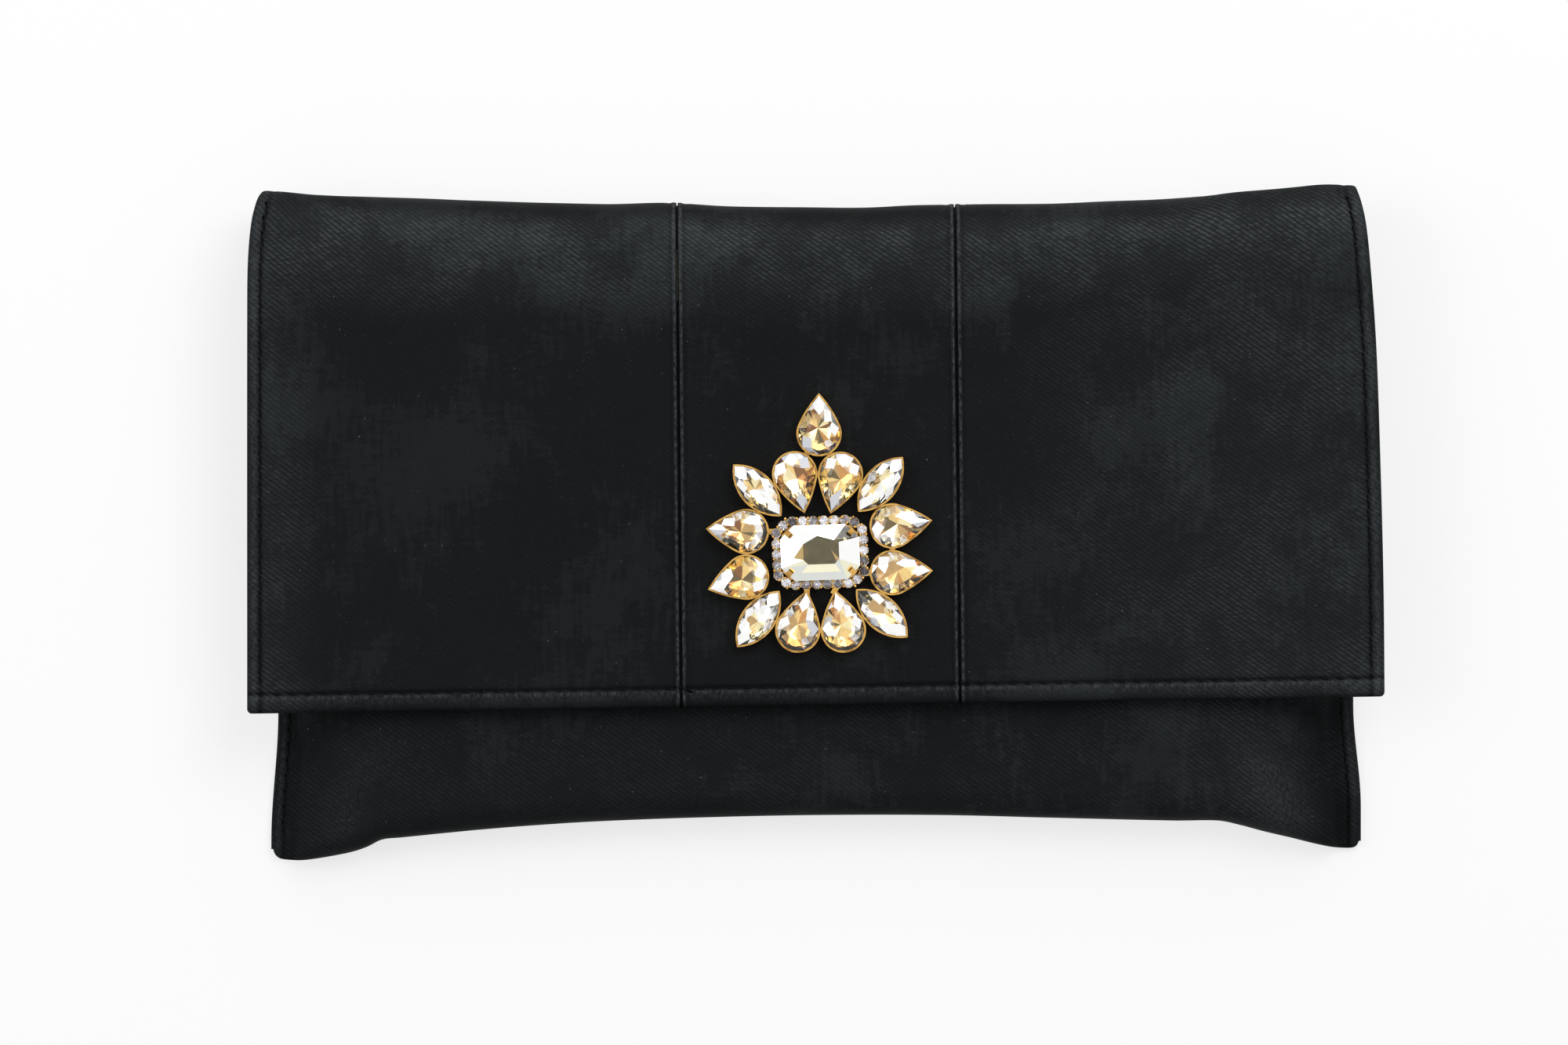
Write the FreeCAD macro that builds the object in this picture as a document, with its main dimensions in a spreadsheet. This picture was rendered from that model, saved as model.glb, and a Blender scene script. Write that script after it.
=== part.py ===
import FreeCAD, Part
import math
import os
import Sketcher
from FreeCAD import Placement, Rotation, Vector

# Satin evening clutch, closed and lying on its back.
# +X runs along the fold, +Y from the base to the fold, +Z from the back to the front.
# The origin is the middle of the purse's outline, on the surface that it lies on.
# Body "pouch" is the bag, body "spine" is the rounded fold at the top, and body "flap" is
# the front flap with its brooch. The fold opens along two lines on the outer skin, at 45
# degrees below and above the middle of the fold.

doc = FreeCAD.newDocument("ClutchPurse")

# ---------------------------------------------------------------- driving dimensions (mm)
SIZES = (
    ("purse_height", 153.0, "fold crown to the corners of the base"),
    ("fold_width", 256.8, "flap width at the fold"),
    ("hem_width", 266.4, "flap width at its lower edge"),
    ("flap_reach", 118.0, "fold crown to the flap's lower edge, in plan"),
    ("centre_panel", 65.4, "width of the flap's middle panel"),
    ("pouch_width", 254.6, "pouch width over its side seams"),
    ("base_sag", 9.2, "how far the middle of the base stands in from its corners"),
    ("sag_power", 2.5, "how sharply the base turns down to its corners"),
    ("fold_radius", 11.0, "outer radius of the fold"),
    ("front_slope", 1.4, "fall of the front towards the base, degrees"),
    ("mouth_setback", 16.5, "fold crown to the pouch's mouth"),
    ("flat_width", 184.0, "width over which the pouch's front is flat"),
    ("seam_flange", 3.5, "width of the flat side seams"),
    ("seam_height", 1.7, "thickness of the side seams"),
    ("satin", 0.6, "outer satin with its backing"),
    ("lining", 0.5, "lining cloth"),
    ("flap_stiffener", 0.9, "flap board"),
    ("pouch_stiffener", 1.2, "pouch boards"),
    ("layer_gap", 0.1, "clearance between layers"),
    ("panel_gap", 0.4, "groove between two panels"),
    ("fold_relief", 2.0, "angle left open at each fold line, degrees"),
    ("hem_turn", 4.5, "width of the turned hem round the flap board"),
    ("board_fit", 0.3, "clearance round a board"),
    ("base_clear", 6.6, "how far the pouch boards stop short of the bottom fold"),
    ("mouth_turn", 5.0, "width of the turned hem at the mouth"),
    ("pocket_width", 120.0, "slip pocket width"),
    ("pocket_depth", 66.0, "slip pocket depth"),
    ("pocket_drop", 14.0, "mouth to the slip pocket's top"),
    ("pocket_hem", 8.0, "depth of the slip pocket's top band"),
    ("snap_rise", 11.0, "snap centre above the flap's lower edge"),
    ("snap_radius", 7.0, "magnetic snap radius"),
    ("socket_height", 2.2, "height of the snap's socket"),
    ("stud_plate", 1.0, "thickness of the snap's stud plate"),
    ("stud_radius", 1.7, "snap stud radius"),
    ("stud_length", 1.7, "snap stud length"),
    ("stud_fit", 0.4, "clearance round the snap stud"),
    ("snap_gap", 0.2, "gap between the closed snap's halves"),
    ("snap_wall", 0.4, "sheet thickness of the snap"),
    ("snap_bevel", 0.4, "bevel on the rims of the snap"),
    ("prong_spread", 4.0, "snap prong distance from the snap's centre"),
    ("prong_width", 2.0, "snap prong width"),
    ("prong_foot", 2.0, "length of a prong's bent foot"),
    ("prong_fit", 0.05, "clearance under a prong's bent foot"),
    ("slot_fit", 0.15, "clearance round a prong in cloth"),
    ("washer_inset", 0.6, "snap rim to the rim of its washer"),
    ("washer_hole", 1.0, "radius of the hole in a snap washer"),
    ("washer_fit", 0.1, "clearance round a prong in a washer"),
    ("window_fit", 0.5, "clearance round the snap in a board"),
    ("magnet_fit", 0.1, "clearance between the magnet and its shell"),
    ("magnet_rise", 0.05, "clearance above and below the magnet"),
    ("brooch_x", 1.1, "centre stone across the flap"),
    ("brooch_rise", 35.55, "centre stone above the flap's lower edge"),
    ("brooch_reach", 29.85, "centre stone to the middle of the top pear stone"),
    ("pear_length", 13.8, "pear stone length"),
    ("pear_width", 9.8, "pear stone width"),
    ("pear_side", 27.0, "radius of the pear stone's sides"),
    ("navette_length", 15.5, "navette stone length"),
    ("navette_width", 7.2, "navette stone width"),
    ("octagon_length", 17.0, "centre stone length inside its setting"),
    ("octagon_width", 11.5, "centre stone width inside its setting"),
    ("octagon_cut", 1.6, "corner cut of the centre stone inside its setting"),
    ("centre_turn", 2.0, "turn of the centre stone, degrees"),
    ("stone_fit", 0.06, "clearance round a stone"),
    ("cup_wall", 0.34, "wall of a setting cup"),
    ("cup_floor", 0.5, "floor of a setting cup"),
    ("cup_height", 3.0, "height of a setting cup"),
    ("girdle_drop", 0.8, "cup rim to the ledge that carries a stone"),
    ("stone_lift", 0.3, "ledge to the underside of the girdle"),
    ("girdle", 0.3, "thickness of a stone's girdle"),
    ("crown", 1.9, "height of a stone above its girdle"),
    ("pavilion", 1.7, "depth of a stone below its girdle"),
    ("table_share", 0.46, "table of a stone as a share of its outline"),
    ("main_share", 0.8, "ring of main facets as a share of the outline"),
    ("main_rise", 0.52, "height of the main facets as a share of the crown"),
    ("centre_wall", 0.35, "wall of the centre setting"),
    ("centre_crown", 1.9, "height of the centre stone above its girdle"),
    ("centre_rest", 0.05, "clearance between the centre stone's girdle and its wall"),
    ("centre_overhang", 0.75, "overhang of the centre stone's girdle past its own seat"),
    ("table_inset_x", 4.3, "end of the centre stone's seat to its table"),
    ("table_inset_y", 2.5, "side of the centre stone's seat to its table"),
    ("table_cut", 1.1, "corner cut of the centre stone's table"),
    ("step_inset", 0.8, "edge of the centre stone's seat to its crown step"),
    ("step_cut", 2.3, "corner cut of the centre stone's crown step"),
    ("step_rise", 0.68, "height of the crown step as a share of the crown"),
    ("lower_inset", 2.4, "edge of the centre stone to its pavilion step"),
    ("lower_drop", 0.6, "depth of the pavilion step as a share of the pavilion"),
    ("keel_inset", 4.2, "edge of the centre stone to its bottom face"),
    ("keel_cut", 0.4, "corner cut of the centre stone's pavilion step and bottom face"),
    ("waist_drop", 0.03, "depth of the overhang's underside"),
    ("ledge", 0.6, "width of the seat that carries a stone"),
    ("cup_seat", 0.05, "clearance between the brooch and the satin"),
    ("claw_reach", 1.0, "reach of a claw over the centre stone"),
    ("claw_lift", 0.85, "centre stone's girdle to the underside of a claw"),
    ("claw_thickness", 0.5, "thickness of a claw"),
    ("claw_width", 1.3, "width of a claw"),
    ("halo_count", 26.0, "crystals in the halo"),
    ("halo_cup_radius", 1.22, "radius of a halo cup"),
    ("halo_stone_radius", 0.96, "radius of a halo crystal"),
    ("halo_fit", 0.05, "clearance between the halo and the centre setting"),
    ("halo_ring_width", 1.2, "width of the halo's base ring"),
    ("halo_ring_height", 0.8, "thickness of the halo's base ring"),
    ("halo_cup_height", 2.2, "height of a halo cup"),
    ("halo_floor", 0.9, "floor of a halo cup"),
    ("halo_girdle_drop", 0.35, "halo cup rim to the underside of its crystal's girdle"),
    ("halo_girdle", 0.15, "thickness of a halo crystal's girdle"),
    ("halo_crown", 0.5, "height of a halo crystal above its girdle"),
    ("bridge_width", 1.3, "width of a solder bridge"),
    ("bridge_low", 0.3, "underside of a solder bridge above the brooch's foot"),
    ("bridge_high", 1.5, "top of a solder bridge above the brooch's foot"),
    ("bridge_least", 0.02, "narrowest gap that a solder bridge fills"),
    ("bridge_reach", 2.5, "widest gap that a solder bridge spans"),
    ("post_radius", 0.6, "radius of a brooch post"),
    ("post_fit", 0.15, "clearance round a brooch post"),
    ("retainer_radius", 2.4, "radius of a brooch retainer"),
    ("retainer_thickness", 0.4, "thickness of a brooch retainer"),
    ("retainer_grip", 0.02, "clearance between a retainer and its post"),
    ("retainer_rise", 0.05, "post end to the face of its retainer"),
    ("retainer_fit", 0.3, "clearance round a retainer in the flap board"),
    ("retainer_gap", 0.1, "clearance above a retainer in the flap board"),
)

sheet = doc.addObject("Spreadsheet::Sheet", "Sizes")
for row, (alias, number, meaning) in enumerate(SIZES, start=1):
    sheet.set(f"A{row}", meaning)
    sheet.set(f"B{row}", str(number))
    sheet.setAlias(f"B{row}", alias)
doc.recompute()

# Values that follow from the driving dimensions, bound to them by expressions.
LAYOUT = (
    ("fold_y", "Sizes.purse_height / 2 - Sizes.fold_radius"),
    ("flap_thickness", "Sizes.satin + Sizes.flap_stiffener + Sizes.lining + 2 * Sizes.layer_gap"),
    ("wall_thickness", "Sizes.satin + Sizes.pouch_stiffener + Sizes.lining + 2 * Sizes.layer_gap"),
    ("snap_height", "Sizes.socket_height + Sizes.stud_plate + Sizes.snap_gap"),
    ("flap_y", "Layout.fold_y - Sizes.fold_radius * sin(Sizes.front_slope)"),
    ("flap_z", "Sizes.fold_radius * (1 + cos(Sizes.front_slope))"),
    ("flap_straight", "(Layout.flap_y - Sizes.purse_height / 2 + Sizes.flap_reach) / cos(Sizes.front_slope)"),
    ("mouth_y", "Sizes.purse_height / 2 - Sizes.mouth_setback"),
    ("front_depth", "Layout.flap_thickness + Layout.snap_height"),
    ("mouth_run", "(Layout.flap_y - Layout.mouth_y + Layout.front_depth * sin(Sizes.front_slope))"
                  " / cos(Sizes.front_slope)"),
    ("mouth_z", "Layout.flap_z - Layout.mouth_run * sin(Sizes.front_slope)"
                " - Layout.front_depth * cos(Sizes.front_slope)"),
    ("snap_run", "Layout.flap_straight - Sizes.snap_rise"),
    ("cup_grow", "Sizes.stone_fit + Sizes.cup_wall"),
    ("centre_grow", "Sizes.stone_fit + Sizes.centre_wall"),
    ("seat_z", "Sizes.cup_height - Sizes.girdle_drop"),
    ("pear_round", "Sizes.pear_width / 2"),
    ("pear_round_x", "Sizes.pear_width / 2 - Sizes.pear_length / 2"),
    ("navette_side", "(Sizes.navette_length ^ 2 + Sizes.navette_width ^ 2) / (4 * Sizes.navette_width)"),
)

layout = doc.addObject("App::VarSet", "Layout")
for name, formula in LAYOUT:
    layout.addProperty("App::PropertyFloat", name)
    layout.setExpression(name, formula)
    doc.recompute()


def size(alias):
    """Return a driving dimension or a value that follows from it."""
    if hasattr(layout, alias):
        return float(getattr(layout, alias))
    return float(sheet.get(alias))


# ---------------------------------------------------------------- drawing helpers
def new_body(label, place=None):
    """Start a PartDesign body for one sub-part."""
    body = doc.addObject("PartDesign::Body", label)
    body.Label = label
    if place is not None:
        body.Placement = place
    return body


def new_sketch(body, role, offset=None):
    """Attach a sketch to one of the body's own origin planes."""
    sketch = body.newObject("Sketcher::SketchObject", body.Label + "_sketch")
    plane = next(item for item in body.Origin.OriginFeatures if item.Role == role)
    sketch.AttachmentSupport = [(plane, "")]
    sketch.MapMode = "FlatFace"
    if offset is not None:
        sketch.setExpression("AttachmentOffset.Base.z", offset)
        sketch.AttachmentOffset = Placement(Vector(0, 0, sketch.evalExpression(offset)), Rotation())
    doc.recompute()
    return sketch


def number(sketch, formula):
    """Evaluate an expression in the document's terms."""
    return float(sketch.evalExpression(formula))


def bind(sketch, kind, first, point, formula):
    """Add a driving constraint and bind it to an expression."""
    if point is None:
        index = sketch.addConstraint(Sketcher.Constraint(kind, first, number(sketch, formula)))
    else:
        index = sketch.addConstraint(Sketcher.Constraint(kind, first, point, number(sketch, formula)))
    sketch.setExpression(f"Constraints[{index}]", formula)


def draw_polygon(sketch, corners):
    """Draw a closed polygon whose corners are pairs of expressions."""
    start = sketch.GeometryCount
    count = len(corners)
    spots = [Vector(number(sketch, x), number(sketch, y), 0) for x, y in corners]
    for i in range(count):
        sketch.addGeometry(Part.LineSegment(spots[i], spots[(i + 1) % count]), False)
    for i, (x, y) in enumerate(corners):
        sketch.addConstraint(Sketcher.Constraint("Coincident", start + i, 2, start + (i + 1) % count, 1))
        bind(sketch, "DistanceX", start + i, 1, x)
        bind(sketch, "DistanceY", start + i, 1, y)


def draw_circle(sketch, x, y, radius):
    """Draw a circle from three expressions."""
    centre = Vector(number(sketch, x), number(sketch, y), 0)
    index = sketch.addGeometry(Part.Circle(centre, Vector(0, 0, 1), number(sketch, radius)), False)
    bind(sketch, "DistanceX", index, 3, x)
    bind(sketch, "DistanceY", index, 3, y)
    bind(sketch, "Radius", index, None, radius)


def draw_arc(sketch, centre, radius, start, end):
    """Add an arc, counter-clockwise from start to end, in radians."""
    circle = Part.Circle(Vector(centre[0], centre[1], 0), Vector(0, 0, 1), radius)
    return sketch.addGeometry(Part.ArcOfCircle(circle, start, end), False)


def pad(body, sketch, length, reverse=False, both_ways=False):
    """Pad a sketch by an expression."""
    feature = body.newObject("PartDesign::Pad", body.Label + "_pad")
    feature.Profile = sketch
    feature.Length = number(sketch, length)
    feature.setExpression("Length", length)
    feature.Reversed = reverse
    feature.Midplane = both_ways
    doc.recompute()
    return feature


def cut_through(body, sketch):
    """Cut a sketch right through the body, both ways from its plane."""
    before = body.Shape.Volume
    feature = body.newObject("PartDesign::Pocket", body.Label + "_cut")
    feature.Profile = sketch
    feature.Type = "ThroughAll"
    feature.Midplane = True
    doc.recompute()
    if not body.Shape.Volume < before:
        raise RuntimeError(body.Label + ": the cut removed nothing")
    return feature


def pocket(body, sketch, depth):
    """Cut a sketch down from its plane by an expression."""
    before = body.Shape.Volume
    feature = body.newObject("PartDesign::Pocket", body.Label + "_pocket")
    feature.Profile = sketch
    feature.Length = number(sketch, depth)
    feature.setExpression("Length", depth)
    doc.recompute()
    if not body.Shape.Volume < before:
        raise RuntimeError(body.Label + ": the pocket removed nothing")
    return feature


def revolve(body, corners):
    """Revolve a polygon of (radius, height) expressions about the body's Z axis."""
    sketch = new_sketch(body, "XZ_Plane")
    draw_polygon(sketch, corners)
    feature = body.newObject("PartDesign::Revolution", body.Label + "_turned")
    feature.Profile = sketch
    feature.ReferenceAxis = (sketch, ["V_Axis"])
    feature.Angle = 360.0
    doc.recompute()
    return feature


def shape_part(label, shape, place=None):
    """Add a sub-part whose shape is worked out here."""
    part = doc.addObject("Part::Feature", label)
    part.Label = label
    part.Shape = shape
    if place is not None:
        part.Placement = place
    return part


parts = []
SLOPE = "Sizes.front_slope"


def on_flap(run, depth):
    """Return (y, z) expressions on the flap: run below the fold, depth under the skin."""
    return (f"Layout.flap_y - ({run}) * cos({SLOPE}) + ({depth}) * sin({SLOPE})",
            f"Layout.flap_z - ({run}) * sin({SLOPE}) - ({depth}) * cos({SLOPE})")


def on_front(run, depth):
    """Return (y, z) expressions on the pouch's front: run below the mouth, depth under the skin."""
    return (f"Layout.mouth_y - ({run}) * cos({SLOPE}) + ({depth}) * sin({SLOPE})",
            f"Layout.mouth_z - ({run}) * sin({SLOPE}) - ({depth}) * cos({SLOPE})")


def on_fold(angle, depth):
    """Return (y, z) expressions on the fold, at an angle from +Y and a depth under the skin."""
    return (f"Layout.fold_y + (Sizes.fold_radius - ({depth})) * cos({angle})",
            f"Sizes.fold_radius + (Sizes.fold_radius - ({depth})) * sin({angle})")


def sloped_place(pair, x="0"):
    """Return a placement on the sloping front, from a pair of (y, z) expressions."""
    base = Vector(number(sheet, x), number(sheet, pair[0]), number(sheet, pair[1]))
    return Placement(base, Rotation(Vector(1, 0, 0), size("front_slope")))


def draw_fold_band(sketch, low, high, outer, inner, run=None):
    """Draw the section of a cloth layer that bends round the fold.

    The layer lies between two depths and spans the angles low to high. With a run, the upper
    end goes on as a straight stretch along the flap.
    """
    centre = (size("fold_y"), size("fold_radius"))
    ends = {}
    arcs = {}
    for side, depth in (("outer", outer), ("inner", inner)):
        radius = size("fold_radius") - number(sketch, depth)
        arcs[side] = draw_arc(sketch, centre, radius, math.radians(number(sketch, low)),
                              math.radians(number(sketch, high)))
        ends[side] = (on_fold(low, depth), on_fold(high, depth))
        bind(sketch, "DistanceX", arcs[side], 3, "Layout.fold_y")
        bind(sketch, "DistanceY", arcs[side], 3, "Sizes.fold_radius")
        bind(sketch, "Radius", arcs[side], None, f"Sizes.fold_radius - ({depth})")
        bind(sketch, "DistanceY", arcs[side], 1, ends[side][0][1])
        bind(sketch, "DistanceX", arcs[side], 2, ends[side][1][0])

    def segment(first, second):
        """Join two corners, given as (geometry, point) of the arcs or pairs of expressions."""
        spots = []
        for corner in (first, second):
            if isinstance(corner[0], int):
                spots.append(sketch.getPoint(*corner))
            else:
                spots.append(Vector(number(sketch, corner[0]), number(sketch, corner[1]), 0))
        index = sketch.addGeometry(Part.LineSegment(*spots), False)
        for place, corner in enumerate((first, second), start=1):
            if isinstance(corner[0], int):
                sketch.addConstraint(Sketcher.Constraint("Coincident", index, place, *corner))
            else:
                bind(sketch, "DistanceX", index, place, corner[0])
                bind(sketch, "DistanceY", index, place, corner[1])
        return index

    segment((arcs["inner"], 1), (arcs["outer"], 1))
    if run is None:
        segment((arcs["outer"], 2), (arcs["inner"], 2))
        return
    outer_line = segment((arcs["outer"], 2), on_flap(run, outer))
    end_line = segment((outer_line, 2), on_flap(run, inner))
    segment((end_line, 2), (arcs["inner"], 2))


# ---------------------------------------------------------------- flap and fold layers
SKIN = ("0", "Sizes.satin")
CORE = ("Sizes.satin + Sizes.layer_gap", "Sizes.satin + Sizes.layer_gap + Sizes.flap_stiffener")
INSIDE = ("Layout.flap_thickness - Sizes.lining", "Layout.flap_thickness")
HINGE_ANGLE = "45"
FLAP_START = f"90 + {SLOPE}"
SEAM_X = "(Sizes.centre_panel + Sizes.panel_gap) / 2"
PANEL_EDGE = "(Sizes.centre_panel - Sizes.panel_gap) / 2"
WIDEN = "(Sizes.hem_width - Sizes.fold_width) / 2 / Sizes.flap_reach"


def trim_flap_side(body, side, inset):
    """Cut the flap's slanting side edge; side is -1 for the left and 1 for the right."""
    top = "Sizes.purse_height / 2 + 1"
    low = "Sizes.purse_height / 2 - Sizes.flap_reach - 5"
    beyond = "Sizes.hem_width / 2 + 5"
    sketch = new_sketch(body, "XY_Plane")
    corners = [
        (f"{side} * (Sizes.fold_width / 2 - ({WIDEN}) - ({inset}))", top),
        (f"{side} * ({beyond})", top),
        (f"{side} * ({beyond})", low),
        (f"{side} * (Sizes.hem_width / 2 + 5 * ({WIDEN}) - ({inset}))", low),
    ]
    draw_polygon(sketch, corners)
    cut_through(body, sketch)


def cloth_layer(label, depths, low, high, span, run=None):
    """Make a layer that bends round the fold; span is a pair of X expressions."""
    body = new_body(label)
    sketch = new_sketch(body, "YZ_Plane", span[0])
    draw_fold_band(sketch, low, high, depths[0], depths[1], run)
    pad(body, sketch, f"({span[1]}) - ({span[0]})")
    parts.append(body)
    return body


def spine_layer(label, depths, span):
    """Make a layer of the spine, between the two fold lines."""
    return cloth_layer(label, depths, f"-({HINGE_ANGLE} - Sizes.fold_relief)",
                       f"{HINGE_ANGLE} - Sizes.fold_relief", span)


def flap_layer(label, depths, span, inset=None, sides=(-1, 1), short="0"):
    """Make a layer of the flap, from the front fold line to the lower edge."""
    body = cloth_layer(label, depths, HINGE_ANGLE, FLAP_START, span,
                       f"Layout.flap_straight - ({short})")
    if inset is not None:
        for side in sides:
            trim_flap_side(body, side, inset)
    return body


def across(width):
    """Return the X span of a layer centred on the purse."""
    return (f"-({width}) / 2", f"({width}) / 2")


OUTER_HALF = "Sizes.hem_width / 2 + 1"
SPINE_HALF = "Sizes.fold_width / 2"

spine_layer("spine_left_panel", SKIN, (f"-({SPINE_HALF})", f"-({SEAM_X})"))
spine_layer("spine_centre_panel", SKIN, across(f"2 * ({PANEL_EDGE})"))
spine_layer("spine_right_panel", SKIN, (SEAM_X, SPINE_HALF))
spine_layer("spine_interlining", CORE, across("Sizes.fold_width - 2 * Sizes.hem_turn"))
spine_layer("spine_lining", INSIDE, across("Sizes.fold_width - 2 * Sizes.satin"))

flap_layer("flap_left_panel", SKIN, (f"-({OUTER_HALF})", f"-({SEAM_X})"), "0", sides=(-1,))
flap_centre = flap_layer("flap_centre_panel", SKIN, across(f"2 * ({PANEL_EDGE})"))
flap_layer("flap_right_panel", SKIN, (SEAM_X, OUTER_HALF), "0", sides=(1,))
flap_lining = flap_layer("flap_lining", INSIDE, across(f"2 * ({OUTER_HALF})"), "Sizes.satin",
                         short="Sizes.satin")


def flat_core(label, start, stop, inset):
    """Make a flat layer of the flap's core between two runs below the fold."""
    body = new_body(label)
    sketch = new_sketch(body, "YZ_Plane")
    draw_polygon(sketch, [on_flap(start, CORE[0]), on_flap(stop, CORE[0]),
                          on_flap(stop, CORE[1]), on_flap(start, CORE[1])])
    pad(body, sketch, f"2 * ({OUTER_HALF})", both_ways=True)
    for side in (-1, 1):
        trim_flap_side(body, side, inset)
    parts.append(body)
    return body


BOARD_INSET = "Sizes.hem_turn + Sizes.board_fit"
flap_board = flat_core("flap_board", "Sizes.board_fit", f"Layout.flap_straight - ({BOARD_INSET})",
                       BOARD_INSET)
flap_hem = flat_core("flap_hem", "Sizes.board_fit", "Layout.flap_straight - Sizes.satin", "Sizes.satin")

hem_window = new_sketch(flap_hem, "XY_Plane")
window_top = "Sizes.purse_height / 2 + 1"
window_low = "Sizes.purse_height / 2 - Sizes.flap_reach + Sizes.hem_turn"
draw_polygon(hem_window, [
    (f"-(Sizes.fold_width / 2 - ({WIDEN}) - Sizes.hem_turn)", window_top),
    (f"-(Sizes.hem_width / 2 - Sizes.hem_turn * ({WIDEN}) - Sizes.hem_turn)", window_low),
    (f"Sizes.hem_width / 2 - Sizes.hem_turn * ({WIDEN}) - Sizes.hem_turn", window_low),
    (f"Sizes.fold_width / 2 - ({WIDEN}) - Sizes.hem_turn", window_top),
])
cut_through(flap_hem, hem_window)


# ---------------------------------------------------------------- pouch
HALF = size("pouch_width") / 2
SEAM_IN = HALF - size("seam_flange")
FLAT_HALF = size("flat_width") / 2
SWELL_STEPS = (0.35, 0.6, 0.8, 0.92, 0.98)


def swell(x):
    """Return how far the pouch is filled out at x: 1 over the flat middle, 0 at the seams."""
    across_side = (abs(x) - FLAT_HALF) / (SEAM_IN - FLAT_HALF)
    if across_side <= 0:
        return 1.0
    return math.sqrt(max(0.0, 1 - min(across_side, 1.0) ** 2))


def base_y(x):
    """Return the lowest point of the bottom fold at x."""
    return -size("purse_height") / 2 + size("base_sag") * (1 - (abs(x) / HALF) ** size("sag_power"))


def stations(outermost, extra=()):
    """Return the X places of the pouch's sections, from left to right."""
    side = [FLAT_HALF + step * (SEAM_IN - FLAT_HALF) for step in SWELL_STEPS]
    right = [x for x in [FLAT_HALF / 2, FLAT_HALF] + side + list(extra) if x <= outermost]
    return [-x for x in reversed(right)] + [0.0] + right


def pouch_section(x, outer, inner, trim):
    """Return the closed wire of a pouch layer at x, a U from the mouth round the base to the fold."""
    fill = swell(x)
    slope = math.radians(size("front_slope")) * fill
    mouth_z = size("seam_height") + (size("mouth_z") - size("seam_height")) * fill
    low_y = base_y(x)
    span = size("mouth_y") - low_y
    round_base = ((mouth_z * math.cos(slope) - span * math.sin(slope))
                  / (1 + math.cos(slope) - math.sin(slope)))
    centre = (low_y + round_base, round_base)

    def front(depth):
        """Return the front line's ends at a depth: at the mouth and at the bottom fold."""
        radius = round_base - depth
        foot = (centre[0] - radius * math.sin(slope), centre[1] + radius * math.cos(slope))
        top_y = size("mouth_y") - trim
        return (top_y, foot[1] + (top_y - foot[0]) * math.tan(slope)), foot

    def base(depth, degrees):
        """Return a point on the bottom fold at a depth."""
        angle = math.radians(degrees)
        radius = round_base - depth
        return (centre[0] + radius * math.cos(angle), centre[1] + radius * math.sin(angle))

    def fold(depth, degrees):
        """Return a point on the rounded top of the back at a depth."""
        angle = math.radians(degrees)
        radius = size("fold_radius") - depth
        return (size("fold_y") + radius * math.cos(angle), size("fold_radius") + radius * math.sin(angle))

    def at(point):
        """Place a (y, z) pair at this station."""
        return Vector(x, point[0], point[1])

    def line(first, second):
        """Return a straight edge."""
        return Part.LineSegment(at(first), at(second)).toShape()

    def arc(first, middle, last):
        """Return an arc through three points."""
        return Part.Arc(at(first), at(middle), at(last)).toShape()

    half_turn = 180 + math.degrees(slope) / 2
    (mouth_out, foot_out), (mouth_in, foot_in) = front(outer), front(inner)
    edges = [
        line(mouth_out, foot_out),
        arc(foot_out, base(outer, half_turn), base(outer, 270)),
        line(base(outer, 270), fold(outer, -90)),
        arc(fold(outer, -90), fold(outer, -67.5), fold(outer, -45)),
        line(fold(outer, -45), fold(inner, -45)),
        arc(fold(inner, -45), fold(inner, -67.5), fold(inner, -90)),
        line(fold(inner, -90), base(inner, 270)),
        arc(base(inner, 270), base(inner, half_turn), foot_in),
        line(foot_in, mouth_in),
        line(mouth_in, mouth_out),
    ]
    return Part.Wire(edges)


def with_flat_faces(solid):
    """Return the solid with each flat face made a true plane, and neighbours in one plane joined."""
    faces = []
    for face in solid.Faces:
        plane = face.findPlane()
        if plane is None:
            faces.append(face)
            continue
        flat = Part.Face(plane, face.OuterWire)
        if flat.normalAt(0, 0).dot(face.normalAt(*face.Surface.parameter(face.CenterOfMass))) < 0:
            flat.reverse()
        faces.append(flat)
    shell = Part.Shell(faces)
    shell.sewShape()
    return Part.Solid(shell).removeSplitter()


def pouch_layer(places, depths, trim):
    """Loft a pouch layer through its sections; depths gives (outer, inner) at x."""
    wires = [pouch_section(x, *depths(x), trim) for x in places]
    return with_flat_faces(Part.makeLoft(wires, True, True))


def satin_depths(_x):
    """The outer satin is the same thickness everywhere."""
    return 0.0, size("satin")


def lining_depths(x):
    """The lining lies under the boards in the middle and against the satin at the sides."""
    under_board = size("satin") + size("pouch_stiffener") + 2 * size("layer_gap")
    at_side = size("satin") + size("layer_gap")
    beyond = (abs(x) - FLAT_HALF) / ((SWELL_STEPS[1]) * (SEAM_IN - FLAT_HALF))
    share = min(1.0, max(0.0, beyond))
    outer = under_board + (at_side - under_board) * share
    return outer, outer + size("lining")


front_frame = sloped_place(on_front("Layout.snap_run - Layout.mouth_run", "0"))


def prong_slots(place, top, bottom):
    """Return the two slots that the snap's prongs pass through."""
    wide = size("prong_width") + 2 * size("slot_fit")
    thick = size("snap_wall") + 2 * size("slot_fit")
    slots = []
    for side in (-1, 1):
        corner = Vector(side * size("prong_spread") - thick / 2, -wide / 2, bottom)
        slots.append(Part.makeBox(thick, wide, top - bottom, corner))
    pair = Part.Compound(slots)
    pair.Placement = place
    return pair


satin_shell = pouch_layer(stations(HALF, (SEAM_IN, HALF)), satin_depths, 0.0)
satin_shell = satin_shell.cut(prong_slots(front_frame, 1.0, -size("satin") - size("layer_gap")))
parts.append(shape_part("pouch_satin", satin_shell))
parts.append(shape_part("pouch_lining", pouch_layer(stations(SEAM_IN), lining_depths, size("satin"))))

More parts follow.
